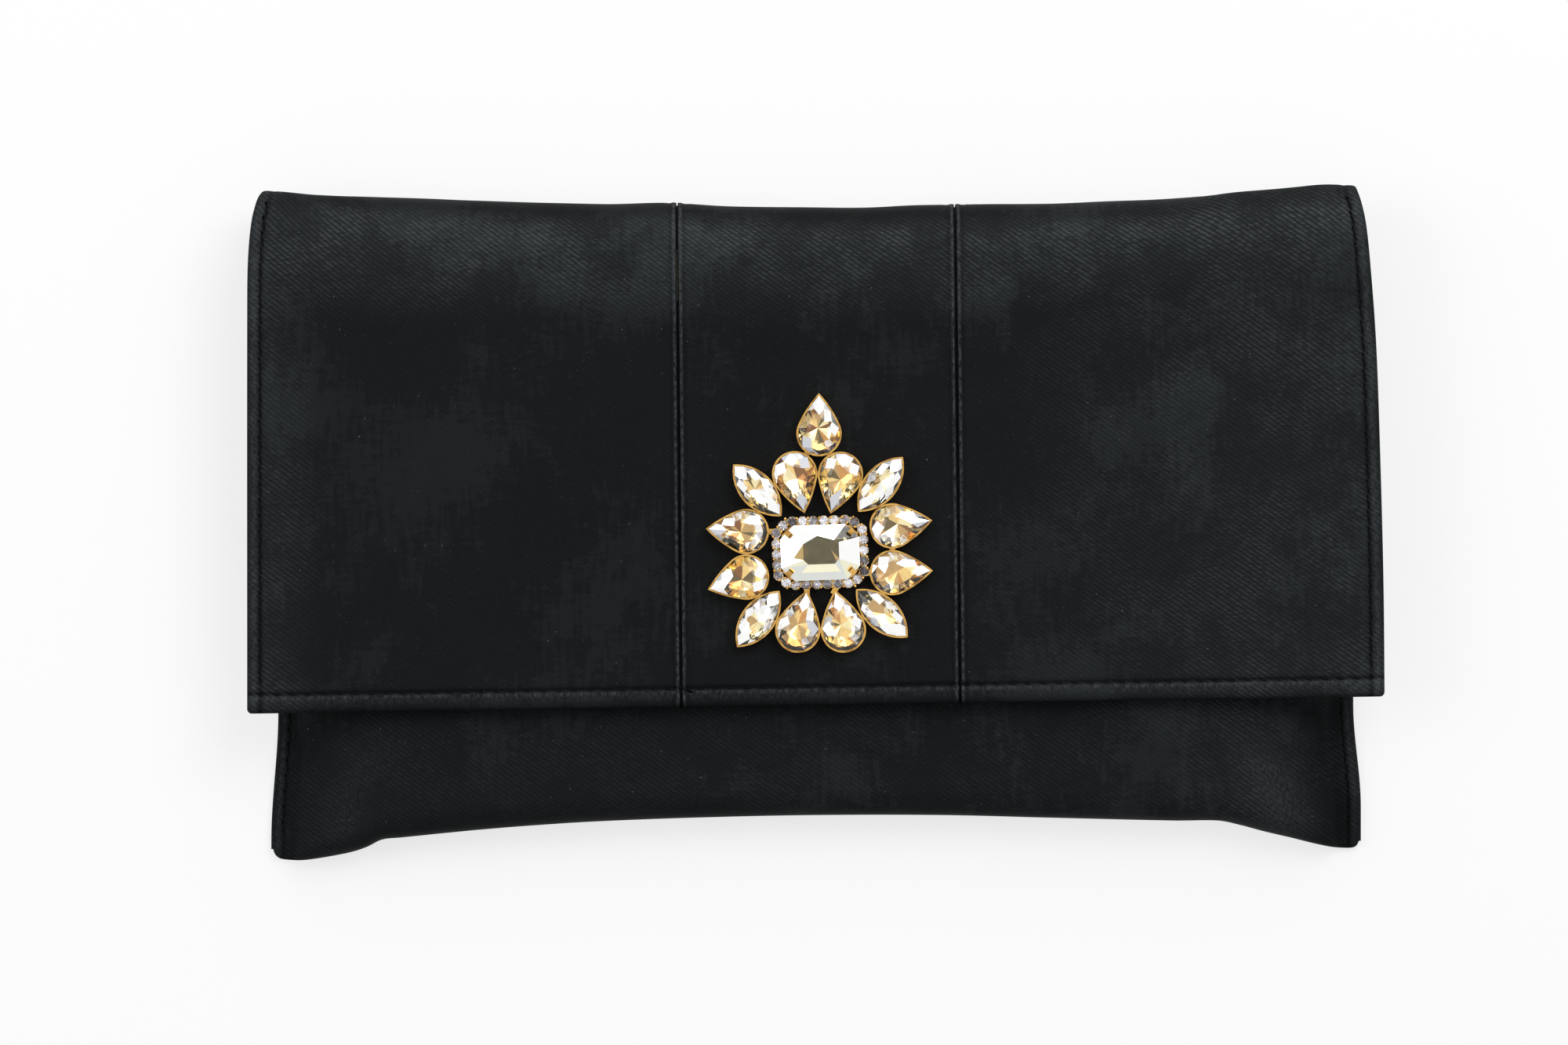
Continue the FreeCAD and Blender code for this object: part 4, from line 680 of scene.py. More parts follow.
@dataclass(frozen=True)
class ClothFinish:
    """Plain woven cloth or thread in one shade."""

    name: str
    dark: Colour
    light: Colour
    roughness: float = 0.6
    pitch: float = 0.45 * MM
    specular: float = 0.03

    def material(self) -> Material:
        """Return the cloth's material."""
        made, nodes, shader = new_material(self.name)
        place, turn = nodes.place(), 2 * pi / self.pitch
        split = nodes.split(place)
        warp, weft = (nodes.math("SINE", nodes.times(split[axis], turn)) for axis in ("X", "Y"))
        check = nodes.times(warp, weft)
        shade = nodes.plus(nodes.times(check, 0.25), nodes.noise(place, 60.0, 3.0), clamp=True)
        nodes.put(shader, {"Base Color": nodes.blend(shade, self.dark, self.light),
                           "Roughness": nodes.plus(nodes.times(check, 0.06), self.roughness),
                           "Specular IOR Level": self.specular, "Normal": nodes.bump(check, 0.3, 0.06 * MM)})
        return made


@dataclass(frozen=True)
class MetalFinish:
    """Polished plating with fine scratches and dull patches."""

    name: str
    bright: Colour
    dull: Colour
    roughness: float = 0.2

    def material(self) -> Material:
        """Return the plating's material."""
        made, nodes, shader = new_material(self.name)
        place = nodes.place()
        tarnish = nodes.ramp(nodes.noise(place, 420.0, 3.0), 0.42, 0.68)
        scratch = nodes.noise(nodes.stretch(place, (1.0, 9.0, 3.0), 0.6), 700.0, 2.0)
        nodes.put(shader, {"Base Color": nodes.blend(tarnish, self.bright, self.dull),
                           "Roughness": nodes.plus(nodes.times(scratch, 0.18), self.roughness - 0.06),
                           "Metallic": 1.0, "Normal": nodes.bump(scratch, 0.12, 0.05 * MM)})
        return made


@dataclass(frozen=True)
class CrystalFinish:
    """Clear cut crystal over a silvered back tinted by its coat and painted reflections, with some facets
    that flash.
    """

    name: str
    body: Colour = (1.0, 1.0, 1.0, 1.0)
    cloud: Colour = (0.25, 0.18, 0.10, 1.0)
    bending: float = 1.52

    def face(self) -> Material:
        """Return the material of the stone's clear facets."""
        made, nodes, shader = new_material(self.name + "_clear")
        smear = nodes.noise(nodes.place(), 500.0, 2.0)
        nodes.put(shader, {"Base Color": self.body, "Roughness": nodes.times(smear, 0.03),
                           "Transmission Weight": 1.0, "IOR": self.bending})
        return made

    def mirror(self, part: str, roughness: float, cloud: float) -> Material:
        """Return the material of mirror-like facets coloured by their coat and a painted reflection.

        Args:
            part: Name of the part of the stone.
            roughness: How soft its reflections are.
            cloud: How cloudy that colour is.

        Returns:
            The material.
        """
        made, nodes, shader = new_material(f"{self.name}_{part}")
        tint = nodes.add("ShaderNodeAttribute", attribute_name="tint").outputs["Color"]
        cloudy = nodes.ramp(nodes.noise(nodes.place(), 650.0, 3.0), 0.35, 0.75)
        nodes.put(shader, {"Base Color": nodes.blend(nodes.times(cloudy, cloud), tint, self.cloud),
                           "Metallic": 1.0, "Roughness": roughness})
        return made

    def materials(self) -> tuple[Material, ...]:
        """Return the clear, foiled and flashing materials, in the facets' order."""
        return self.face(), self.mirror("foil", 0.08, 0.25), self.mirror("flash", 0.16, 0.03)


# ---- finishes in one place
class Wardrobe:
    """Every finish of the purse, made once."""

    def __init__(self) -> None:
        """Make the finishes."""
        weave, marks = float_weave_group(), sheen_patch_group()
        self.flap_satin, self.body_satin, self.back_satin = (
            SatinFinish(glow, weave, marks, seed).material()
            for glow, seed in ((Glow.FLAP, 0.0), (Glow.BODY, 3.7), (Glow.BACK, 8.1)))
        self.lining, self.thread, self.hole, self.board, self.interlining = (
            ClothFinish(*finish).material() for finish in (
                ("lining_cloth", (0.008, 0.008, 0.010, 1), (0.020, 0.021, 0.024, 1)),
                ("sewing_thread", (0.0020, 0.0021, 0.0023, 1), (0.0058, 0.0062, 0.0066, 1), 0.4, 0.2 * MM),
                # The needle holes' near-black colour is painted shade in the holes.
                ("needle_hole_shade", (0.0008, 0.0008, 0.0008, 1), (0.002, 0.002, 0.002, 1), 0.9),
                ("board", (0.10, 0.085, 0.06, 1), (0.16, 0.13, 0.10, 1), 0.8, 0.9 * MM),
                ("interlining", (0.05, 0.05, 0.05, 1), (0.09, 0.09, 0.09, 1), 0.8)))
        self.gold, self.snap, self.magnet, self.halo, small_foil = (
            MetalFinish(*finish).material() for finish in (
                ("gold_plating", (0.68, 0.40, 0.11, 1), (0.36, 0.19, 0.05, 1), 0.22),
                ("snap_plating", (0.88, 0.70, 0.38, 1), (0.60, 0.44, 0.20, 1), 0.26),
                ("magnet_plating", (0.50, 0.50, 0.51, 1), (0.30, 0.30, 0.31, 1), 0.35),
                ("halo_plating", (0.72, 0.58, 0.34, 1), (0.34, 0.24, 0.12, 1), 0.2),
                ("small_foil", (0.93, 0.92, 0.95, 1), (0.20, 0.18, 0.19, 1), 0.10)))
        self.crystal = CrystalFinish("cut_crystal").materials()
        self.melee = (self.crystal[0], small_foil)


# ---- what geometry nodes repeat
def repeated(mesh: Mesh, tree: NodeTree, sizes: Mapping[str, float]) -> Object:
    """Repeat a tree's item over a mesh of points or edges.

    Args:
        mesh: The points or edges, with the tree's attributes on them.
        tree: The tree.
        sizes: The tree's sizes, by name.

    Returns:
        The items, as one plain mesh that is named after the first.
    """
    piece = bpy.data.objects.new(mesh.name, mesh)
    bpy.context.scene.collection.objects.link(piece)
    modifier = piece.modifiers.new("repeat", "NODES")
    modifier.node_group = tree
    for socket in tree.interface.items_tree:
        if socket.in_out == "INPUT" and socket.name in sizes:
            modifier[socket.identifier] = sizes[socket.name]
    return bake(piece)


# ---- stitches
@dataclass(frozen=True)
class StitchSizes:
    """Sizes of one run of stitches."""

    pitch: float = 3.66 * MM
    length: float = 2.7 * MM
    thread: float = 0.24 * MM
    rise: float = 0.12 * MM
    slant: float = radians(12)
    hole: float = 0.45 * MM
    slot: float = 1.15


class StitchPart(Enum):
    """What a stitch tree repeats along its line."""

    THREAD = "thread"
    HOLE = "hole"


@dataclass(frozen=True)
class StitchLine:
    """A run of stitches along a line on the cloth, repeated by geometry nodes."""

    wardrobe: Wardrobe
    sizes: StitchSizes = StitchSizes()

    def thread(self, nodes: Nodes, size: Mapping[str, NodeSocket]) -> NodeSocket:
        """Return one stitch: a thread that rises from the cloth and dips back into it."""
        half = nodes.times(size["Length"], 0.5)
        sunk = nodes.times(size["Rise"], -1.3)
        path = nodes.out("GeometryNodeCurveQuadraticBezier", {
            "Resolution": 6, "Start": nodes.vector(X=nodes.times(half, -1.0), Z=sunk),
            "Middle": nodes.vector(Z=nodes.times(size["Rise"], 2.4)), "End": nodes.vector(X=half, Z=sunk)})
        ring = nodes.out("GeometryNodeCurvePrimitiveCircle", {"Resolution": 6, "Radius": size["Thread"]})
        return nodes.out("GeometryNodeCurveToMesh", {"Curve": path, "Profile Curve": ring, "Fill Caps": True})

    def hole(self, nodes: Nodes, size: Mapping[str, NodeSocket]) -> NodeSocket:
        """Return one needle hole, half a pitch from its stitch: a flat dark disc of painted shade."""
        disc = nodes.out("GeometryNodeMeshCircle", {"Vertices": 10, "Radius": size["Hole"]},
                         fill_type="TRIANGLE_FAN")
        return nodes.out("GeometryNodeTransform", {
            "Geometry": disc, "Scale": nodes.vector(X=size["Slot"], Y=0.75, Z=1.0),
            "Translation": nodes.vector(X=nodes.times(size["Pitch"], 0.5), Z=nodes.times(size["Hole"], 0.3))})

    def tree(self, part: StitchPart, sizes: Mapping[str, float]) -> NodeTree:
        """Build the tree that repeats a thread or a hole along a line.

        Args:
            part: What to repeat.
            sizes: The stitch's sizes, by name.

        Returns:
            The tree, with its sizes as named inputs.
        """
        nodes, size, out = new_tree(TreeKind.GEOMETRY, "stitch_" + part.value, sizes, ("Geometry",))
        curve = nodes.out("GeometryNodeMeshToCurve", {0: size["Geometry"]})
        spread = nodes.out("GeometryNodeResampleCurve", {"Curve": curve, "Length": size["Pitch"]},
                           mode="LENGTH")
        up = nodes.out("FunctionNodeAlignRotationToVector",
                       {"Vector": nodes.attribute("cloth_normal", "FLOAT_VECTOR")}, axis="Z")
        aim = nodes.out("FunctionNodeAlignRotationToVector",
                        {"Rotation": up, "Vector": nodes.out("GeometryNodeInputTangent")},
                        axis="X", pivot_axis="Z")
        slant = nodes.vector(Z=size["Slant"])
        turn = nodes.out("FunctionNodeRotateRotation", {"Rotation": aim, "Rotate By": slant},
                         rotation_space="LOCAL")
        if part is StitchPart.THREAD:
            item, material = self.thread(nodes, size), self.wardrobe.thread
        else:
            item, material = self.hole(nodes, size), self.wardrobe.hole
        nodes.put(out, {0: nodes.painted(nodes.scattered(spread, item, turn), material)})
        return nodes.tree

    def sew(self, name: str, line: Sequence[tuple[Vector, Vector]]) -> list[Object]:
        """Make the stitches along a line.

        Args:
            name: Name of the run.
            line: Points on the cloth, each with the cloth's normal.

        Returns:
            The threads and the needle holes.
        """
        sizes = {label.title(): value for label, value in asdict(self.sizes).items()}
        made = []
        for part in StitchPart:
            mesh = bpy.data.meshes.new(f"{name}_{part.value}")
            mesh.from_pydata([tuple(p) for p, _ in line], [(i, i + 1) for i in range(len(line) - 1)], [])
            normals = mesh.attributes.new("cloth_normal", "FLOAT_VECTOR", "POINT")
            normals.data.foreach_set("vector", [c for _, n in line for c in n])
            piece = repeated(mesh, self.tree(part, sizes), sizes)
            piece.data.polygons.foreach_set("use_smooth", [True] * len(piece.data.polygons))
            made.append(piece)
        return made


# ---- cloth over the fold and flap
class Panel(Enum):
    """The three panels of the flap."""

    LEFT = "left"
    CENTRE = "centre"
    RIGHT = "right"


@dataclass(frozen=True)
class ClothSizes:
    """Sizes of the sewn cloth, in metres."""

    skin: float = 0.45 * MM
    lining: float = 0.3 * MM
    tape: float = 0.05 * MM
    edge_radius: float = 1.15 * MM
    turn_under: float = 4.6 * MM
    side_stitch: float = 3.15 * MM
    hem_stitch: float = 4.45 * MM
    pouch_stitch: float = 2.4 * MM
    mouth_stitch: float = 4.2 * MM
    valley: float = 0.36 * MM
    lip: float = 0.24 * MM
    seam_gap: float = 0.15 * MM
    seam_roll: float = 0.30 * MM
    seam_depth: float = 0.50 * MM
    seam_reach: float = 4 * MM
    tape_depth: float = 0.62 * MM
    back_run: float = 19.3 * MM
    lining_width: float = 260 * MM
    coarse: float = 1.5 * MM
    fine: float = 0.40 * MM
    side_zone: float = 6.5 * MM
    hem_zone: float = 7 * MM
    seam_zone: float = 3 * MM


class FoldBand(Enum):
    """Which stretch of the skin a piece covers."""

    FRONT = "flap"
    BACK = "fold"


@dataclass(frozen=True)
class Bend:
    """Two places (y, z) between which cloth bends from one body to the next.

    Cloth deeper under the skin turns over a shorter way.
    """

    bodies: tuple[str, str]
    start: Point
    end: Point
    share: float
    lean: float

    def apply(self, piece: Object, depth: float = 0.0) -> None:
        """Bake a piece's place into its mesh."""
        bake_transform(piece)


BENDS = {
    FoldBand.FRONT: Bend(("spine", "flap"), (0.07543, 0.01076), (0.07217, 0.02293), 0.75, -0.27),
    FoldBand.BACK: Bend(("pouch", "spine"), (0.06868, -0.00138), (0.07788, 0.00782), 0.55, 1.0),
}


@dataclass(frozen=True)
class FlapCloth:
    """The three satin panels, their seams, hem, stitches and lining, from the back over the fold."""

    sizes: ClutchSizes
    outline: Outline
    cloth: ClothSizes
    wardrobe: Wardrobe

    def unevenness(self, x: float, run: float) -> float:
        """Return the soft unevenness of the cloth over its board."""
        calm = 1 - 0.85 * bell(x, 0.0, 0.034) * ease(0.02, 0.05, run)
        broad = noise.noise(Vector((x * 22, run * 26, 1.7))) * 0.30 * MM
        small = noise.noise(Vector((x * 70, run * 90, 4.2))) * 0.06 * MM
        return (broad + small) * calm

    def relief(self, x: float, run: float, from_side: float, from_hem: float,
               from_seam: float) -> tuple[float, float]:
        """Return how far the cloth stands out near edges, stitches and seams, and its painted shade or
        highlight.

        Args:
            x: Place along the fold.
            run: Length down the skin.
            from_side: Distance from the flap's side.
            from_hem: Distance from the flap's lower edge.
            from_seam: Distance from the nearest seam.

        Returns:
            The height, and the painted shade (below 0) or painted highlight (above 0).
        """
        cloth = self.cloth
        height = tone = 0.0
        wave = 0.5 + 0.5 * cos(2 * pi * x / StitchSizes().pitch)
        if from_side < 8 * MM:
            sewn = 0.15 + 0.85 * ease(3 * MM, 13 * MM, abs(run))
            height -= sewn * cloth.valley * bell(from_side, cloth.side_stitch, 0.6 * MM)
            height += sewn * cloth.lip * bell(from_side, 1.5 * MM, 0.9 * MM)
            # Painted shade in the side stitches' valley and along the very edge, painted highlight on the
            # rolled lip.
            tone -= sewn * 0.62 * bell(from_side, cloth.side_stitch, 0.55 * MM)
            tone += sewn * 0.42 * bell(from_side, 1.7 * MM, 0.8 * MM) - 0.5 * bell(from_side, 0.0, 0.5 * MM)
        if from_hem < 10 * MM:
            height -= cloth.valley * bell(from_hem, cloth.hem_stitch, 0.65 * MM)
            height += cloth.lip * bell(from_hem, 2.3 * MM, 1.2 * MM)
            height += 0.12 * MM * wave * bell(from_hem, 3.5 * MM, 0.5 * MM)
            # Painted shade in the hem's stitch row and along its edge, painted highlight on the bulge below
            # the stitches.
            tone -= 0.70 * bell(from_hem, cloth.hem_stitch + 0.2 * MM, 0.38 * MM)
            tone += (0.30 + 0.35 * wave) * bell(from_hem, 3.55 * MM, 0.5 * MM)
            tone += 0.16 * bell(from_hem, 2.4 * MM, 0.8 * MM) - 0.55 * bell(from_hem, 0.0, 0.55 * MM)
        if from_seam < cloth.seam_reach:
            height += 0.17 * MM * bell(from_seam, 0.62 * MM, 0.42 * MM)
            height -= 0.08 * MM * bell(from_seam, 1.9 * MM, 0.7 * MM)
            # Painted highlight on the seam's rolled lips, painted shade in its gap.
            tone += 1.05 * bell(from_seam, 0.60 * MM, 0.32 * MM)
            tone -= 0.30 * bell(from_seam, 1.45 * MM, 0.45 * MM) + 0.9 * bell(from_seam, 0.0, 0.22 * MM)
        return height, tone

    def edges(self, panel: Panel, y: float) -> tuple[float, float]:
        """Return where a panel's edges lie, at the seams' middles or the flap's sides.

        Args:
            panel: Which panel.
            y: Place down the flap.

        Returns:
            The x of its left and right edges.
        """
        left = self.outline.seam(panel is Panel.RIGHT, y)
        right = self.outline.seam(panel is not Panel.LEFT, y)
        if panel is Panel.LEFT:
            left = self.outline.side(False, y) + self.cloth.edge_radius
        if panel is Panel.RIGHT:
            right = self.outline.side(True, y) - self.cloth.edge_radius
        return left, right

    @property
    def hem_run(self) -> float:
        """Return where the flap's lower edge starts to roll under."""
        return self.sizes.flap_run - self.cloth.edge_radius

    def width(self, panel: Panel) -> float:
        """Return a panel's nominal width."""
        left, right = self.edges(panel, 0.0)
        return right - left

    def spot(self, panel: Panel, share: float, run: float, depth: float = 0.0, plain: bool = False) -> Vector:
        """Return a point of the cloth inside its edges."""
        return self.look(panel, share, run, 0.0, 0.0, depth, plain)[0]

    def look(self, panel: Panel, share: float, run: float, out_x: float, out_run: float,
             depth: float = 0.0, plain: bool = False) -> tuple[Vector, float]:
        """Return a point of the cloth and its painted shade or highlight.

        Args:
            panel: Which panel.
            share: Place across the panel, 0 at its left edge and 1 at its right.
            run: Length down the skin from the middle of the fold.
            out_x: Length of cloth past the left (negative) or right edge.
            out_run: Length of cloth past the lower edge.
            depth: Depth under the skin.
            plain: Whether to leave out the relief.

        Returns:
            The point, and its painted shade (below 0) or painted highlight (above 0).
        """
        sizes, cloth = self.sizes, self.cloth
        y_guess = sizes.on_skin(run, 0.0)[0]
        left, right = self.edges(panel, y_guess)
        y_guess += self.outline.lift(left + (right - left) * share, run)
        left, right = self.edges(panel, y_guess)
        x = left + (right - left) * share
        free_left, free_right = panel is Panel.LEFT, panel is Panel.RIGHT
        radius = cloth.edge_radius
        from_side = min((x - left) if free_left else 1.0, (right - x) if free_right else 1.0) + radius
        from_seam = min(1.0 if free_left else x - left, 1.0 if free_right else right - x)
        height, tone = self.unevenness(x, run), 0.0
        if not plain:
            rise, tone = self.relief(x, run, from_side, self.hem_run - run + radius, from_seam)
            height += rise
            # Painted shade along the crest of the fold.
            tone -= 0.35 * bell(run, -1.0 * MM, 2.0 * MM)
        if out_x == 0.0 and not plain:
            if not free_left and share < 0.5:
                x += cloth.seam_gap * (1 - min(1.0, (x - left) / cloth.seam_reach))
            if not free_right and share > 0.5:
                x -= cloth.seam_gap * (1 - min(1.0, (right - x) / cloth.seam_reach))
        on_free_side = (out_x < 0 and free_left) or (out_x > 0 and free_right)
        over_x = abs(out_x) if on_free_side else 0.0
        over = hypot(over_x, out_run)
        drop = push_x = push_run = 0.0
        if over > 0:
            if over <= pi * radius:
                out, drop = radius * sin(over / radius), radius * (1 - cos(over / radius))
            else:
                out, drop = -(over - pi * radius), 2 * radius
            push_x = copysign(1, out_x) * out * over_x / over
            push_run = out * out_run / over
            height *= max(0.0, 1 - over / (1.2 * radius))
            # Painted shade where the edge rolls under.
            tone -= 0.5 * min(1.0, over / radius)
        if out_x != 0.0 and not on_free_side:
            past, roll = abs(out_x), cloth.seam_roll
            inward = copysign(1, out_x)
            if past <= roll * pi / 2:
                x += inward * (roll * sin(past / roll) - cloth.seam_gap)
                drop += roll * (1 - cos(past / roll))
            else:
                x += inward * (roll - cloth.seam_gap)
                drop += roll + past - roll * pi / 2
            x -= inward * roll
            # Painted shade on cloth turned down into a seam.
            tone = -0.9
        y, z = sizes.on_skin(run + push_run, depth + drop - height)
        return Vector((x + push_x, y + self.outline.lift(x, run), z)), tone

    def past_edge(self, free: bool) -> list[float]:
        """Return lengths of cloth past an edge that is free and turned under, or sewn into a seam."""
        cloth = self.cloth
        if free:
            rolled = cloth.edge_radius * pi
            return [rolled * k / 7 for k in range(1, 8)] + [
                rolled + cloth.turn_under * k / 3 for k in range(1, 4)]
        rolled = cloth.seam_roll * pi / 2
        return [rolled * k / 3 for k in range(1, 4)] + [rolled + cloth.seam_depth]

    def columns(self, panel: Panel) -> list[tuple[float, float]]:
        """Return (share, length past the edge) across a panel."""
        cloth, width = self.cloth, self.width(panel)
        free_left, free_right = panel is Panel.LEFT, panel is Panel.RIGHT
        places = graded(0.0, width, cloth.coarse, cloth.fine,
                        [(0.0, cloth.side_zone if free_left else cloth.seam_zone),
                         (width - (cloth.side_zone if free_right else cloth.seam_zone), width)])
        return ([(0.0, -p) for p in reversed(self.past_edge(free_left))] + [(p / width, 0.0) for p in places]
                + [(1.0, p) for p in self.past_edge(free_right)])

    def rows(self, band: FoldBand) -> list[tuple[float, float]]:
        """Return (run, length past the lower edge) down a band."""
        cloth, end = self.cloth, self.hem_run
        if band is FoldBand.BACK:
            return [(-cloth.back_run + cloth.back_run * k / 20, 0.0) for k in range(21)]
        places = graded(0.0, end, cloth.coarse, cloth.fine, [(end - cloth.hem_zone, end)])
        return [(p, 0.0) for p in places] + [(end, p) for p in self.past_edge(True)]

    def panel(self, panel: Panel, band: FoldBand) -> Object:
        """Make one satin panel over one band of the skin.

        Args:
            panel: Which panel.
            band: Which band.

        Returns:
            The panel.
        """
        left, width = self.edges(panel, 0.0)[0], self.width(panel)
        grid = []
        for share, out_x in self.columns(panel):
            grid.append([])
            for run, out_run in self.rows(band):
                point, tone = self.look(panel, share, run, out_x, out_run)
                grid[-1].append((point, (left + share * width + out_x, run + out_run), tone))
        piece = grid_object(f"{band.value}_cover_{panel.value}", grid, flip=True)
        front = band is FoldBand.FRONT
        satin = self.wardrobe.flap_satin if front else self.wardrobe.back_satin
        finish_sheet(piece, self.cloth.skin, satin)
        BENDS[band].apply(piece)
        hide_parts(f"{'flap' if front else 'spine'}_{panel.value}_panel")
        return piece

    def lining(self, band: FoldBand) -> Object:
        """Make the lining under one band of the skin.

        Args:
            band: Which band.

        Returns:
            The lining.
        """
        front = band is FoldBand.FRONT
        depth = self.sizes.flap_thickness - 0.25 * MM
        inset = 3.4 * MM if front else 2.0 * MM
        last = self.sizes.flap_run - 3.6 * MM
        grid = []
        for share in [k / 60 for k in range(61)]:
            grid.append([])
            for run, past in self.rows(band):
                if past > 0 or run >= last:
                    continue
                y, z = self.sizes.on_skin(run, depth)
                left, right = self.outline.side(False, y) + inset, self.outline.side(True, y) - inset
                x = left + (right - left) * share
                lift = self.outline.lift(x, run)
                if lift > 0:
                    lift *= 0.45 + 0.55 * ease(0.010, 0.040, run)
                flat = ((share - 0.5) * self.cloth.lining_width, run)
                grid[-1].append((Vector((x, y + lift, z)), flat, 0.0))
        piece = grid_object(f"{band.value}_lining_cloth", grid)
        finish_sheet(piece, self.cloth.lining, self.wardrobe.lining)
        BENDS[band].apply(piece, depth)
        if front:
            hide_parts("flap_lining", "flap_hem")
            cut_size(piece)
        else:
            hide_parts("spine_lining", "spine_interlining")
            cut_size(piece)
        return piece

    def seam_tape(self, right: bool, band: FoldBand) -> Object:
        """Make the dark allowance that shows at the bottom of a seam.

        Args:
            right: Whether it is the right seam.
            band: Which band of the skin.

        Returns:
            The allowance.
        """
        middle = [(self.spot(Panel.CENTRE, float(right), run, self.cloth.tape_depth, plain=True), run)
                  for run, past in self.rows(band) if past == 0.0]
        grid = [[(point + Vector((offset * MM, 0, 0)), (offset * MM, run), 0.0) for point, run in middle]
                for offset in (-1.6, -0.8, 0.0, 0.8, 1.6)]
        piece = grid_object(f"{band.value}_seam_{'right' if right else 'left'}", grid, flip=True)
        finish_sheet(piece, self.cloth.tape, self.wardrobe.lining)
        BENDS[band].apply(piece)
        return piece

    def normal(self, panel: Panel, share: float, run: float) -> Vector:
        """Return the cloth's outward normal."""
        step = 0.4 * MM
        aside = step / self.width(panel)
        across = self.spot(panel, share + aside, run) - self.spot(panel, share - aside, run)
        down = self.spot(panel, share, run + step) - self.spot(panel, share, run - step)
        return down.cross(across).normalized()

    def stitches(self) -> list[Object]:
        """Sew the two sides and the lower hem of the flap."""
        cloth, end, stride = self.cloth, self.sizes.flap_run, 1.5 * MM
        hem_run = end - cloth.hem_stitch
        side_runs = [hem_run - k * stride for k in range(int((end - 14 * MM) / stride))]
        lines = {}
        for panel in (Panel.LEFT, Panel.RIGHT):
            inset = (cloth.side_stitch - cloth.edge_radius) / self.width(panel)
            share = inset if panel is Panel.LEFT else 1 - inset
            lines["side_" + panel.value] = [(panel, share, run) for run in side_runs]
        lines["hem"] = []
        for panel in Panel:
            width = self.width(panel)
            count = int(width / stride)
            low = 2 * MM / width if panel is Panel.LEFT else 0.008
            high = 1 - 2 * MM / width if panel is Panel.RIGHT else 0.992
            lines["hem"] += [(panel, low + (high - low) * k / count, hem_run) for k in range(count + 1)]
        hem_sizes = StitchSizes(length=2.3 * MM, slant=radians(-24), slot=1.9)
        made = []
        for name, points in lines.items():
            line = [(self.spot(*point), self.normal(*point)) for point in points]
            made += StitchLine(self.wardrobe, hem_sizes if name == "hem" else StitchSizes()).sew(
                "flap_" + name, line)
        for piece in made:
            BENDS[FoldBand.FRONT].apply(piece)
        return made

    def build(self) -> list[Object]:
        """Make every cloth piece of the flap and the fold."""
        made = []
        for band in FoldBand:
            tapes = [self.seam_tape(right, band) for right in (False, True)]
            made += [self.lining(band)] + tapes
            for panel in Panel:
                piece = self.panel(panel, band)
                cut_size(piece)
                made.append(piece)
        return made + self.stitches()


